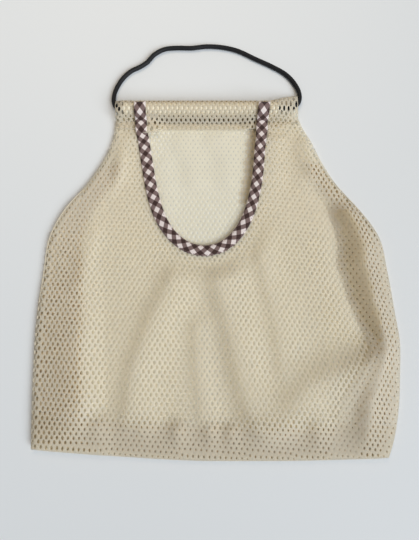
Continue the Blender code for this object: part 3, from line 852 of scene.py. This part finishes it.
# %% Knitting the back panel
FLAT_OPENING = 0.58  # the slack back panel's holes, as a share of those pulled over the tube
CASING_END_OPENING = 0.15  # how much wider the casing's holes stand beside the mouth
UNDER_SEAM, UNDER_SEAM_REACH = 365.4, 4.2  # the strip of the panel in painted shade, seen through the seam
RIGHT_LEG_FROM = 272.0  # past this much cloth the shade of the mouth's raised right edge is painted in, this far inside it, and darker this far
LEG_PAINTED_SHADE, LEG_DEEP_PAINTED_SHADE = 15.0, 10.0  # this far inside it, and deeply this far
back_middles = hole_middles(back_cut)
on_casing = back_middles[:, 1] > TO_CASING
past_tube = back_middles[:, 1] - TO_CASING - ROUND_LENGTH
# The stitches draw the holes above the seam together, and leave those at the seam open
drawn_in = np.interp(past_tube, (1, 3, 7, 8), (0, 0.35, 0.35, 0.08))
beside_mouth = (back_middles[:, 0] < MOUTH_LINE[0, 0]) | (back_middles[:, 0] > MOUTH_LINE[-1, 0])
on_hem = (past_tube > 0.55 * SLOPE_LENGTH) & ~beside_mouth
casing_opening = 1.0 + CASING_END_OPENING * beside_mouth
back = knit(
    "back_panel_net", back_middles, back_cut, back_corners, lay_back, BACK_YARN,
    seed=3, opening=np.where(on_casing, casing_opening, FLAT_OPENING) - drawn_in,
)
# Painted shade: inside the mouth's raised right edge the back panel takes the browner casing and hem yarns
right_leg = MOUTH_LINE[MOUTH_LINE[:, 0] > 30, :2]
from_leg, leg_side, _ = nearest(*lay_back(*back_middles.T)[:, :2].T, right_leg)
in_painted_shade = ~on_casing & (leg_side > 0) & (back_middles[:, 1] > RIGHT_LEG_FROM)
painted_shade_tone = (from_leg < LEG_PAINTED_SHADE) * 1 + (from_leg < LEG_DEEP_PAINTED_SHADE)
# Painted shade: the strip of the back panel under the casing's seam takes the darkest yarn
from_seam = np.abs(up_along(back_middles[:, 1]) - UNDER_SEAM)
painted_shade_under_seam = ~on_casing & ~beside_mouth & (from_seam < UNDER_SEAM_REACH)
# The casing and the hem take the browner yarns as painted shade among their layers
yarn_of_hole = np.where(painted_shade_under_seam, 3, on_casing + on_hem + in_painted_shade * painted_shade_tone)
mix_in(back, (CASING_YARN, HEM_YARN, PAINTED_SHADE_YARN), yarn_of_hole)
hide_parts("back_panel")

# %% [markdown]
# ### The loose end beside the binding
#
# Where the left end of the mouth was sewn down, a small end of the net was left sticking out over the hem.
# It is the same knitted net, laid as a small square on the hem and a little way up the casing.

# %% Loose end
TAB_LEFT, TAB_RIGHT, TAB_FOOT, TAB_TOP = -82.0, -65.0, 348.0, 367.0
ABOVE_HEM = 1.9  # how far its middle lies above the hem's


def lay_tab(across, up):
    """On top of the hem, rising with the casing at its top end and curling up at its right edge."""
    lift = ABOVE_HEM + 3.4 * ease(up, 360, 368) + 0.8 * ease(across, -70, -64)
    return np.column_stack((across, up + 0.1 * (across - TAB_LEFT), hem_level(across) + lift))


tab_corners = np.array(
    ((TAB_LEFT, TAB_TOP), (TAB_LEFT, TAB_FOOT), (TAB_RIGHT, TAB_FOOT), (TAB_RIGHT, TAB_TOP))
)
tab_sides = zip(tab_corners, np.roll(tab_corners, -1, axis=0))
tab_cut = np.vstack([np.linspace(start, end, 20) for start, end in tab_sides])
tab_middles = hole_middles(tab_cut, keep=0.3 * PITCH)
tab = knit("loose_end_net", tab_middles, tab_cut, tab_corners, lay_tab, SEAM_YARN, seed=6, opening=1.2)

# %% [markdown]
# ## The front panel
#
# The same net is laid over the gusset and pushed into its folds, and the mouth is cut out of it. The cut
# edge of the mouth runs inside the binding, and the top edge runs under the hem.

# %% Laying out the front panel
FRONT_TOP = 364.0  # its top edge, under the hem
UNDER_BINDING = 3.2  # how far the cut edge reaches past the binding's middle
BESIDE_BINDING = -BINDING_WIDTH / 2 + 1.0  # and how far on the shoulders, just inside the other side


def drop(side):
    """How far the rows have sunk at a place across: they slope down to the right, ever more steeply."""
    return 0.082 * side + 0.00014 * side**2


def lay_front(side, along):
    """The panel's own places across and up, at the height of its folds."""
    up = up_along(along - drop(side))
    across = side * fan(up)
    return np.column_stack((across, up, front_height(across, up)))


# How far its holes are closed: on the band at the bottom, beside the right seam, at it, and in the trough
CLOSED = {"band": 0.42, "right": 0.24, "seam": 0.3, "trough": 0.42}


def front_opening(across, up):
    """The holes' size: full over the left margin, smaller where the cloth is slack or pushed together."""
    sides = insets(across, up)
    from_right = sides["right"]
    low = ease(up, 250, 210)
    on_bottom = ease(sides["bottom"], 1.2, 0.9) * ease(sides["left"], 0.5, 1)
    on_bottom = on_bottom * (1 - 0.6 * ease(across, 90, 130)) * (1 - 0.5 * ease(across, -110, -150))
    on_right = low * ease(from_right, 1.2, 0.8)
    at_right = low * ease(from_right, 0.4, 0.1)
    in_trough = ease(from_right, 0.6, 0.8) * ease(from_right, 1.5, 1.3) * ease(up, 266, 256)
    on_shoulder = ease(up, 215, 255) * ease(from_right, 0.6, 1.1)
    on_shoulder = on_shoulder * (0.28 + 0.12 * ease(across, 60, 90))
    closed = np.maximum(CLOSED["band"] * on_bottom, CLOSED["right"] * on_right)
    closed = closed + CLOSED["seam"] * at_right + CLOSED["trough"] * in_trough
    return 1 - closed - on_shoulder


# %% The front panel's cut line
def front_flat(line):
    """Places on the front panel's cut edges as places in its flat cloth, whose rows have sunk."""
    flat = flat_cloth(line)
    flat[:, 1] += drop(flat[:, 0])
    return flat


def mouth_cut():
    """The mouth's cut edge in the flat cloth, kept inside the binding's width all the way up."""
    line = MOUTH_LINE[:, :2]
    line = np.vstack(((line[0, 0], FRONT_TOP), line, (line[-1, 0], FRONT_TOP)))
    line = even_points(line, 1.0)
    forward = np.gradient(line, axis=0)
    inward = unit(np.column_stack((-forward[:, 1], forward[:, 0])))
    reach = UNDER_BINDING + (BESIDE_BINDING - UNDER_BINDING) * ease(line[:, 1], 326, 344)
    edge = line + inward * reach[:, None]
    edge[[0, -1], 1] = FRONT_TOP
    return edge


def level_run(start, end):
    """A straight run of the top edge from one end to the other, in steps of about a millimetre."""
    return np.linspace(start, end, max(int(abs(end[0] - start[0])), 2))


front_left, front_bottom, front_right = sewn_edges(FRONT_TOP)
mouth_edge = mouth_cut()
right_shoulder = level_run(front_right[-1], mouth_edge[-1])
left_shoulder = level_run(mouth_edge[0], front_left[0])
front_round = (front_left, front_bottom, front_right, right_shoulder, mouth_edge[::-1], left_shoulder)
front_cut = front_flat(np.vstack(front_round))
front_ends = [line[[0, -1]] for line in (front_left, front_right, mouth_edge)]
front_corners = front_flat(np.vstack(front_ends))
print("the mouth's cut edge is", round(run_length(mouth_edge)[-1]), "mm long")

# %% Knitting the front panel
front_middles = hole_middles(front_cut)
front_across, front_up, _ = lay_front(*front_middles.T).T
front = knit(
    "front_panel_net", front_middles, front_cut, front_corners, lay_front, FRONT_YARN,
    seed=4, opening=front_opening(front_across, front_up),
)
# Painted shade: the front panel takes the browner seam and gusset yarns on the bottom band and in the
# right trough
BAND_EDGE = 1.05  # the band at the bottom, browner with painted shade, lies over the gusset this far up
TROUGH_MIDDLE = 0.96  # the trough along the right side, by its inset
TROUGH_EDGE, TROUGH_DEEP = 0.38, 0.27  # the half-widths of its two tones of painted shade
TROUGH_FOOT, TROUGH_HEAD = (140, 110), (254, 274)  # how far up the tones narrow, and then end
front_insets = insets(front_across, front_up)
past_foot = ease(front_up, *TROUGH_FOOT)
past_head = ease(front_up, *TROUGH_HEAD)
from_trough = np.abs(front_insets["right"] - TROUGH_MIDDLE) + 0.3 * past_foot + past_head
trough_painted_shade = (from_trough < TROUGH_EDGE) * 1 + (from_trough < TROUGH_DEEP)
mix_in(front, (SEAM_YARN, GUSSET_YARN), np.maximum(front_insets["bottom"] < BAND_EDGE, trough_painted_shade))
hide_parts("front_panel")

# %% [markdown]
# ## The gusset
#
# The strip that gives the bag its depth lies folded in double. Its cut edges meet the panels' seams and
# its fold lies inside the bag, so it is laid out between two lines: out along the back panel, round the
# fold and back under the front panel.

# %% The gusset's sewn edge and fold
GUSSET_SEAM = 2.5  # its sewn edge lies this far inside the panels'
GUSSET_FOLD = 0.97  # and its fold at this share of its width in the construction model
GUSSET_SLACK = 1.1  # free height under the front panel
GUSSET_STEPS = 60  # points along each side and along the bottom


def bottom_fold_up(across):
    """How far up the gusset's fold lies along the bottom."""
    return bottom_edge(across) + GUSSET_BOTTOM_WIDTH * GUSSET_FOLD


def gusset_side(side_edge, width, inward):
    """One side's sewn edge and fold, from the top down; inward is 1 on the left and -1 on the right."""
    wide = gusset_width(GUSSET_BOTTOM_WIDTH, width) * GUSSET_FOLD
    foot = GUSSET_SEAM + bottom_edge(side_edge(0))
    corner = bottom_fold_up(side_edge(GUSSET_BOTTOM_WIDTH) + inward * wide)
    down = np.linspace(GUSSET_TOP, foot, GUSSET_STEPS)
    fold_down = np.linspace(GUSSET_TOP, corner, GUSSET_STEPS)
    reach = gusset_width(fold_down, width) * GUSSET_FOLD
    sewn = np.column_stack((side_edge(down) + inward * GUSSET_SEAM, down))
    return sewn, np.column_stack((side_edge(fold_down) + inward * reach, fold_down))


def gusset_lines():
    """The gusset's sewn edge and its fold, down the left side, along the bottom and up the right side."""
    left_side, left_fold = gusset_side(left_edge, "left_width", 1)
    right_side, right_fold = (line[::-1] for line in gusset_side(right_edge, "right_width", -1))
    bottom = np.linspace(left_side[-1], right_side[0], GUSSET_STEPS)[1:-1]
    bottom[:, 1] = bottom_edge(bottom[:, 0]) + GUSSET_SEAM
    bottom_fold = np.linspace(left_fold[-1], right_fold[0], GUSSET_STEPS)[1:-1]
    bottom_fold[:, 1] = bottom_fold_up(bottom_fold[:, 0])
    return np.vstack((left_side, bottom, right_side)), np.vstack((left_fold, bottom_fold, right_fold))


GUSSET_EDGE, GUSSET_CREASE = gusset_lines()
GUSSET_RUN = run_length(GUSSET_EDGE)
GUSSET_WIDE = np.linalg.norm(GUSSET_CREASE - GUSSET_EDGE, axis=1)
print("folded, the gusset is", round(GUSSET_RUN[-1]), "by", round(GUSSET_WIDE.max()), "mm")

# %% Laying out the gusset
GUSSET_SECTION = table(
    ("round", "towards_fold", "rise"),
    (0, 0, 0),
    (0.45, 0.93, 0),
    (0.48, 0.99, 0.2),
    (0.5, 1, 0.5),
    (0.52, 0.99, 0.8),
    (0.55, 0.93, 1),
    (1, 0, 1),
)


def lay_gusset(run, across_strip):
    """Between the sewn edge and the crease: the share of the strip's width is the place in its section."""
    edge = places_along(GUSSET_EDGE, GUSSET_RUN, run)
    crease = places_along(GUSSET_CREASE, GUSSET_RUN, run)
    share = across_strip / (2 * np.interp(run, GUSSET_RUN, GUSSET_WIDE))
    towards = np.interp(share, GUSSET_SECTION["round"], GUSSET_SECTION["towards_fold"])
    rise = np.interp(share, GUSSET_SECTION["round"], GUSSET_SECTION["rise"])
    place = edge + (crease - edge) * towards[:, None]
    upper = np.maximum(front_height(*place.T) - LAYER - GUSSET_SLACK, SEAT + LAYER)
    return np.column_stack((place, SEAT + (upper - SEAT) * rise))

# %% Knitting the gusset
gusset_run = np.linspace(0, GUSSET_RUN[-1], 900)
gusset_wide = 2 * np.interp(gusset_run, GUSSET_RUN, GUSSET_WIDE)
back_side = np.column_stack((gusset_run, np.zeros(900)))
front_side = np.column_stack((gusset_run, gusset_wide))[::-1]
gusset_start = np.linspace(front_side[-1], back_side[0], 60)
gusset_end = np.linspace(back_side[-1], front_side[0], 60)
gusset_cut = np.vstack((back_side, gusset_end, front_side, gusset_start))
# The fourth corner is left round, as it is out of sight under the left shoulder
gusset_corners = (back_side[0], back_side[-1], front_side[0])
gusset_middles = hole_middles(gusset_cut)
gusset = knit("gusset_net", gusset_middles, gusset_cut, gusset_corners, lay_gusset, GUSSET_YARN, seed=5)
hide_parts("gusset")

# %% [markdown]
# ## The seams round the bag
#
# The gusset's two cut edges are sewn to the panels and rolled over with thread, so each seam is a thin,
# knobbly rope of yarn. It is a tube along the sewn edge whose radius swells once for each hole of the net.

# %% Rolled seams
SEAM_RADIUS = 0.6
SEAM_TAPER = 45.0  # it starts as a single thread and reaches its full size over this much
SEAM_TOP = 300.0
INSIDE_EDGE = 0.8  # how far it is drawn in from the panels' sewn edge
BAG_MIDDLE = np.array((0.0, 170.0))


def rolled_seam(name, height):
    """A tube round three sides of the bag: radius = 0.6 x (0.85 + 0.3 x the size of a slow sine)."""
    edge = np.vstack(sewn_edges(SEAM_TOP))
    drawn_in = edge + INSIDE_EDGE * unit(BAG_MIDDLE - edge)
    path = even_points(np.column_stack((drawn_in, np.full(len(edge), height))), 1.1)
    sides = 7
    swell = 0.85 + 0.3 * np.abs(np.sin(math.pi * run_length(path) / PITCH))
    to_end = np.minimum(run_length(path), run_length(path)[::-1])
    swell *= 0.05 + 0.95 * ease(to_end, 0, SEAM_TAPER)
    angle = np.linspace(0, 2 * math.pi, sides, endpoint=False)
    wall = rings_round(path, angle, SEAM_RADIUS * swell[:, None]).reshape(-1, 3)
    caps = [list(range(sides)), [len(wall) - 1 - side for side in range(sides)]]
    return make_mesh(name, wall, tube_faces(len(path), sides) + caps, SEAM_YARN)


seams = [rolled_seam(name, height) for name, height in (("front_seam", 4.3), ("back_seam", 1.3))]
print("each seam has", len(seams[0].data.polygons), "faces")

# %% [markdown]
# ## The binding
#
# A strip of brown and white check, cut on the bias so that it bends round the mouth, is folded over the
# raw edge and runs on up over the casing at both ends. Its section is a narrow letter C, carried along the
# mouth's line.

# %% Sizes of the binding
REPEAT_ALONG, REPEAT_ACROSS = 14.6, 12.4  # from one pale diamond to the next, stretched by the bias
PHASE = 5.3  # from the strip's first cut edge to its first pale diamond
SLIP = (266, 228)  # the check slips by half a repeat between these heights, round the foot of the mouth
BINDING_THICK = 0.6
BINDING_HALF = BINDING_WIDTH / 2
FOLDED = BINDING_HALF - BINDING_THICK / 2
SPREAD = 0.09  # how much wider it was folded along the left leg and over the casing
EAR, EAR_REACH = 1.6, 5.0  # how far the corners of its cut ends stick out, and over what length
LEAN = 1.8  # how far the right end drifts outwards over the casing
ON_HEM = (358.5, 363.5)  # the strip lies on the hem between these heights,
ROUND_CASING = (144, 76)  # then it climbs round the casing's side, in degrees, and ends just past its top
# The strip's middle: side of the route, share of the rise between its legs, distance round the strip
BINDING_SECTION = table(
    ("side", "rise", "round"),
    (BINDING_HALF, 0, -19.6),
    (2, 0, -15.8),
    (0.7 - FOLDED, 0, -8.9),
    (0.1 - FOLDED, 0.22, -7.9),
    (-FOLDED, 0.5, -6.9),
    (0.1 - FOLDED, 0.78, -5.9),
    (0.7 - FOLDED, 1, -4.9),
    (-2.4, 1.1, -2.4),
    (0, 1.14, 0),
    (2.4, 1.1, 2.4),
    (4.6, 1.0, 4.6),
    (BINDING_HALF, 0.92, BINDING_HALF),
)
UPPER_LEG = slice(6, None)  # the section's rows after the fold
print("a pale diamond every", REPEAT_ALONG, "mm")


# %% Checked cotton
def checked_cotton():
    """Plain-woven cotton in two colours: where brown crosses brown it is dark, where they mix, mauve."""
    material, tree = new_material("checked_cotton_brown")
    strip = add_node(tree, "UVMap", {"uv_map": "strip"})
    parts = add_node(tree, "SeparateXYZ", None, {0: (strip, "UV")})
    bands = []
    for operation in ("ADD", "SUBTRACT"):
        diagonal = add_node(tree, "Math", {"operation": operation}, {0: (parts, "X"), 1: (parts, "Y")})
        wave = add_node(tree, "Math", {"operation": "FRACT"}, {0: (diagonal, 0)})
        bands.append(add_node(tree, "Math", {"operation": "GREATER_THAN", 1: 0.5}, {0: (wave, 0)}))
    both = add_node(tree, "Math", {"operation": "ADD"}, {0: (bands[0], 0), 1: (bands[1], 0)})
    half = add_node(tree, "Math", {"operation": "MULTIPLY", 1: 0.5}, {0: (both, 0)})
    colours = add_node(tree, "ValToRGB", None, {"Fac": (half, 0)})
    ramp = colours.color_ramp
    ramp.interpolation = "CONSTANT"
    ramp.elements[0].color = linear("#e5d7d0")
    ramp.elements[1].position = 0.25
    ramp.elements[1].color = linear("#77615c")
    ramp.elements.new(0.75).color = linear("#38201a")
    matt = {"Roughness": 0.85, "Sheen Weight": 0.15}
    shader = add_node(tree, "BsdfPrincipled", matt, {"Base Color": (colours, "Color")})
    add_node(tree, "OutputMaterial", None, {"Surface": (shader, "BSDF")})
    return material


# %% The binding's route
def binding_route():
    """Underside of the binding: up over the casing, round the mouth, and over the casing again."""
    radius = CASING_RADIUS + CLOTH / 2 + 2 * GAP
    centre = FLOOR_LEVEL + CASING["half_height"][2]
    on_hem = SLOT_LEVEL + LAYER + CLOTH / 2 + GAP
    turn = np.radians(np.arange(*ROUND_CASING, -4))
    over = np.column_stack((CASING_MIDDLE + radius * np.cos(turn), centre + radius * np.sin(turn)))
    climb = np.vstack(((ON_HEM[0], on_hem), (ON_HEM[1], on_hem + CLOTH / 2), over))
    drift = LEAN * (climb[:, 0] - climb[0, 0]) / (climb[-1, 0] - climb[0, 0])
    left = np.column_stack((np.full(len(climb), MOUTH_LINE[0, 0]), climb))[::-1]
    right = np.column_stack((MOUTH_LINE[-1, 0] + drift, climb))
    return even_points(np.vstack((left, MOUTH_LINE, right)), 1.5)


def shut_at(up):
    """How far the strip is pressed shut: 0 round the mouth, 1 on the casing."""
    return ease(up, 340, 354)


def binding_frame(route):
    """Directions away from the mouth and off the strip, square across where it lies shut on the casing."""
    shut = shut_at(route[:, 1])
    plan = np.gradient(route[:, :2], axis=0)
    outward = unit(np.column_stack((plan[:, 1], -plan[:, 0])))
    square = np.column_stack((np.sign(route[:, 0]), np.zeros(len(route))))
    outward += (square - outward) * shut[:, None]
    outward = np.column_stack((outward, np.zeros(len(route))))
    forward = unit(np.gradient(route, axis=0))
    upward = unit(np.cross(outward, forward))
    slot = BINDING_SLOT + 2 * (CLOTH - BINDING_THICK) - (BINDING_SLOT - 0.2) * shut
    return forward, outward, upward, slot


# %% Folding the binding
def binding():
    """A letter C carried along the route, open away from the mouth, with its end corners a little out."""
    route = binding_route()
    along = run_length(route)
    first_half = along < along[-1] / 2
    forward, outward, upward, slot = binding_frame(route)
    to_end = np.minimum(along, along[-1] - along)
    ear = EAR * ease(to_end, EAR_REACH, 0) * np.where(first_half, -1, 1)
    on_left = ease(route[:, 1], 236, 266) * first_half
    spread = 1 + SPREAD * np.maximum(on_left, shut_at(route[:, 1]))
    rows = []
    for side, rise in zip(BINDING_SECTION["side"], BINDING_SECTION["rise"]):
        height = BINDING_THICK / 2 + (BINDING_THICK + slot) * rise
        corner = (ear * (side / BINDING_HALF) ** 4)[:, None] * forward
        rows.append(route + outward * side * spread[:, None] + upward * height[:, None] + corner)
    points = np.vstack(rows)
    grid = np.arange(len(points)).reshape(len(rows), -1)
    faces = np.stack((grid[:-1, :-1], grid[:-1, 1:], grid[1:, 1:], grid[1:, :-1]), axis=-1)
    faces = faces.reshape(-1, 4).tolist()
    piece = make_mesh("mouth_binding", points, faces, checked_cotton())
    slip = 0.5 * ease(route[:, 1], *SLIP)
    slip = np.where(first_half, slip, 1 - slip) / 2
    around = BINDING_SECTION["round"][:, None] / REPEAT_ACROSS - slip
    forward_by = np.broadcast_to((along - PHASE) / REPEAT_ALONG - slip, around.shape)
    add_uv(piece, "strip", np.column_stack((forward_by.ravel(), around.ravel())))
    solid = piece.modifiers.new("Thickness", "SOLIDIFY")
    solid.thickness = BINDING_THICK * MM
    solid.offset = 0.0
    return piece, float(along[-1])


mouth_binding, binding_length = binding()
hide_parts("binding")
print("binding", round(binding_length), "mm long")

# %% [markdown]
# ### Its stitches
#
# Two rows of machine stitching hold the binding, one along its open edge and one along its fold. Each
# stitch is a short, fat thread that dives into the cloth at both ends.


# %% Sewing thread
STITCH, STITCH_STEP, THREAD = 2.1, 3.0, 0.34  # length, distance from start to start, and thickness
STITCH_ROWS = (4.8, -4.6)  # the two rows, by their distance from the strip's middle
THREAD_GRAIN = 1500.0  # patches in a metre: about 0.7 mm each, three to a stitch


def sewing_thread():
    """Spun polyester sewing thread, slightly glossy."""
    material, tree = new_material("spun_polyester_brown")
    place = add_node(tree, "TexCoord")
    fibre = add_node(tree, "TexNoise", {"Scale": THREAD_GRAIN}, {"Vector": (place, "Object")})
    shades = {"data_type": "RGBA", 6: linear("#4a3634"), 7: linear("#6b5350")}
    tone = add_node(tree, "Mix", shades, {0: (fibre, "Fac")})
    shader = add_node(tree, "BsdfPrincipled", {"Roughness": 0.5}, {"Base Color": (tone, 2)})
    add_node(tree, "OutputMaterial", None, {"Surface": (shader, "BSDF")})
    return material


# %% Rows of stitches
def stitches(name, lines, material):
    """Spindles in a row along each line: a point, two rings of five, and a point, for every stitch."""
    ends = []
    for line in lines:
        length = run_length(line)
        starts = np.arange(1.0, length[-1] - STITCH, STITCH_STEP)
        ends.append([places_along(line, length, at) for at in (starts, starts + STITCH)])
    start, end = (np.vstack(points) for points in zip(*ends))
    level, rise = square_to(unit(end - start))
    ring = THREAD / 2 * circles(level, rise, np.arange(5) * 2 * math.pi / 5)
    near = (start + 0.25 * (end - start))[:, None] + ring
    far = (start + 0.75 * (end - start))[:, None] + ring
    dive = rise * THREAD / 2
    spindle = np.concatenate((near, far, (start - dive)[:, None], (end - dive)[:, None]), axis=1)
    side = np.arange(5)
    after = (side + 1) % 5
    near_tip, far_tip = np.full(5, 10), np.full(5, 11)
    walls = ((side, side + 5, after + 5), (side, after + 5, after))
    tips = ((near_tip, side, after), (far_tip, after + 5, side + 5))
    one = np.vstack([np.column_stack(corners) for corners in walls + tips])
    faces = (one[None] + 12 * np.arange(len(start))[:, None, None]).reshape(-1, 3)
    piece = make_mesh(name, spindle, faces.tolist(), material)
    print(name, "has", len(start), "stitches")
    return piece


def stitch_line(side):
    """A line on the binding's upper face at one distance from its middle."""
    route = binding_route()
    _, outward, upward, slot = binding_frame(route)
    rise = np.interp(side, BINDING_SECTION["side"][UPPER_LEG], BINDING_SECTION["rise"][UPPER_LEG])
    height = BINDING_THICK + (BINDING_THICK + slot) * rise
    return (route + outward * side + upward * height[:, None])[2:-2]


stitches("binding_stitches", [stitch_line(side) for side in STITCH_ROWS], sewing_thread())

# %% [markdown]
# ## The plastic tube
#
# The tube in the casing keeps its shape from the construction model and only needs its finish. It shows
# as a pale, warm glow through the holes of the casing.


# %% Tube
DRAWN_LINES = (20.0, 900.0, 900.0)  # patches in a metre: lines about 50 mm long and 1.1 mm apart


def extruded_plastic():
    """Extruded polyethylene tube: cream, soft-looking, with faint lines along the way it was drawn."""
    material, tree = new_material("extruded_polyethylene_cream")
    place = add_node(tree, "TexCoord")
    drawn = add_node(tree, "Mapping", {"Scale": DRAWN_LINES}, {"Vector": (place, "Object")})
    lines = add_node(tree, "TexNoise", {"Scale": 1.0, "Detail": 1.0}, {"Vector": (drawn, "Vector")})
    shades = {"data_type": "RGBA", 6: linear("#f0e8d0"), 7: linear("#f7f0dc")}
    tone = add_node(tree, "Mix", shades, {0: (lines, "Fac")})
    waxy = {"Roughness": 0.42, "IOR": 1.5}
    shader = add_node(tree, "BsdfPrincipled", waxy, {"Base Color": (tone, 2)})
    add_node(tree, "OutputMaterial", None, {"Surface": (shader, "BSDF")})
    return material


rod = frame["nodes"]["rod"]
rod.data.materials.clear()
rod.data.materials.append(extruded_plastic())
print("the tube is cream polyethylene")

# %% [markdown]
# ## The net's area
#
# The holes of the four nets, each with the cloth of one cell, give the area of net in the bag.

# %% Sheets
cell_area = PITCH * ROW * MM * MM
net_area = sum(net["holes"] for net in (back, front, gusset, tab)) * cell_area
print("the net takes", round(net_area * 1e4), "square centimetres")

# %% [markdown]
# ## Floor and light
#
# A plain pale floor, a broad soft window lamp on the right, a small warm ceiling lamp beyond the top of
# the bag, and an even sky. The window lamp is low enough that the left side of every fold falls into soft
# shade. Light is allowed many bounces, because it has to find its way through several layers of net.

# %% Floor
FLOOR = 2.0  # metres from the middle to each edge
floor_corners = [(x * FLOOR, y * FLOOR, 0) for x, y in ((-1, -1), (1, -1), (1, 1), (-1, 1))]
floor_mesh = bpy.data.meshes.new("floor")
floor_mesh.from_pydata(floor_corners, [], [(0, 1, 2, 3)])
floor = bpy.data.objects.new("floor", floor_mesh)
bpy.context.collection.objects.link(floor)
# Boards with a matt white paint
floor_paint, floor_tree = new_material("painted_board_white")
matt_paint = {"Base Color": linear("#e6e6e4"), "Roughness": 0.6}
floor_shader = add_node(floor_tree, "BsdfPrincipled", matt_paint)
add_node(floor_tree, "OutputMaterial", None, {"Surface": (floor_shader, "BSDF")})
floor_mesh.materials.append(floor_paint)
print("the floor is", round(2 * FLOOR), "metres square")


# %% Light
def add_light(name, kind, settings, place, tilt):
    """One lamp with its settings, at a place in metres and turned by some degrees about x and y."""
    lamp = bpy.data.lights.new(name, kind)
    for setting, value in settings.items():
        setattr(lamp, setting, value)
    holder = bpy.data.objects.new(name, lamp)
    holder.location = place
    holder.rotation_euler = (math.radians(tilt[0]), math.radians(tilt[1]), 0.0)
    bpy.context.collection.objects.link(holder)


daylight = {"energy": 2.9, "angle": math.radians(40), "color": (0.85, 0.92, 1.0)}
add_light("window_light", "SUN", daylight, (0, 0, 0), (30, 45))
warm = {"energy": 2.4, "size": 0.5, "color": (1.0, 0.82, 0.58)}
add_light("ceiling_light", "AREA", warm, (-0.14, 0.60, 0.85), (-26, 0))
sky = bpy.data.worlds.new("sky")
sky.use_nodes = True
background = sky.node_tree.nodes["Background"].inputs
background["Color"].default_value = (0.86, 0.92, 1.0, 1.0)
background["Strength"].default_value = 0.26
scene = bpy.context.scene
scene.world = sky
scene.view_settings.view_transform = "Standard"
for limit in ("max_bounces", "diffuse_bounces", "transmission_bounces"):
    setattr(scene.cycles, limit, 40)
print("two lamps and an even sky")
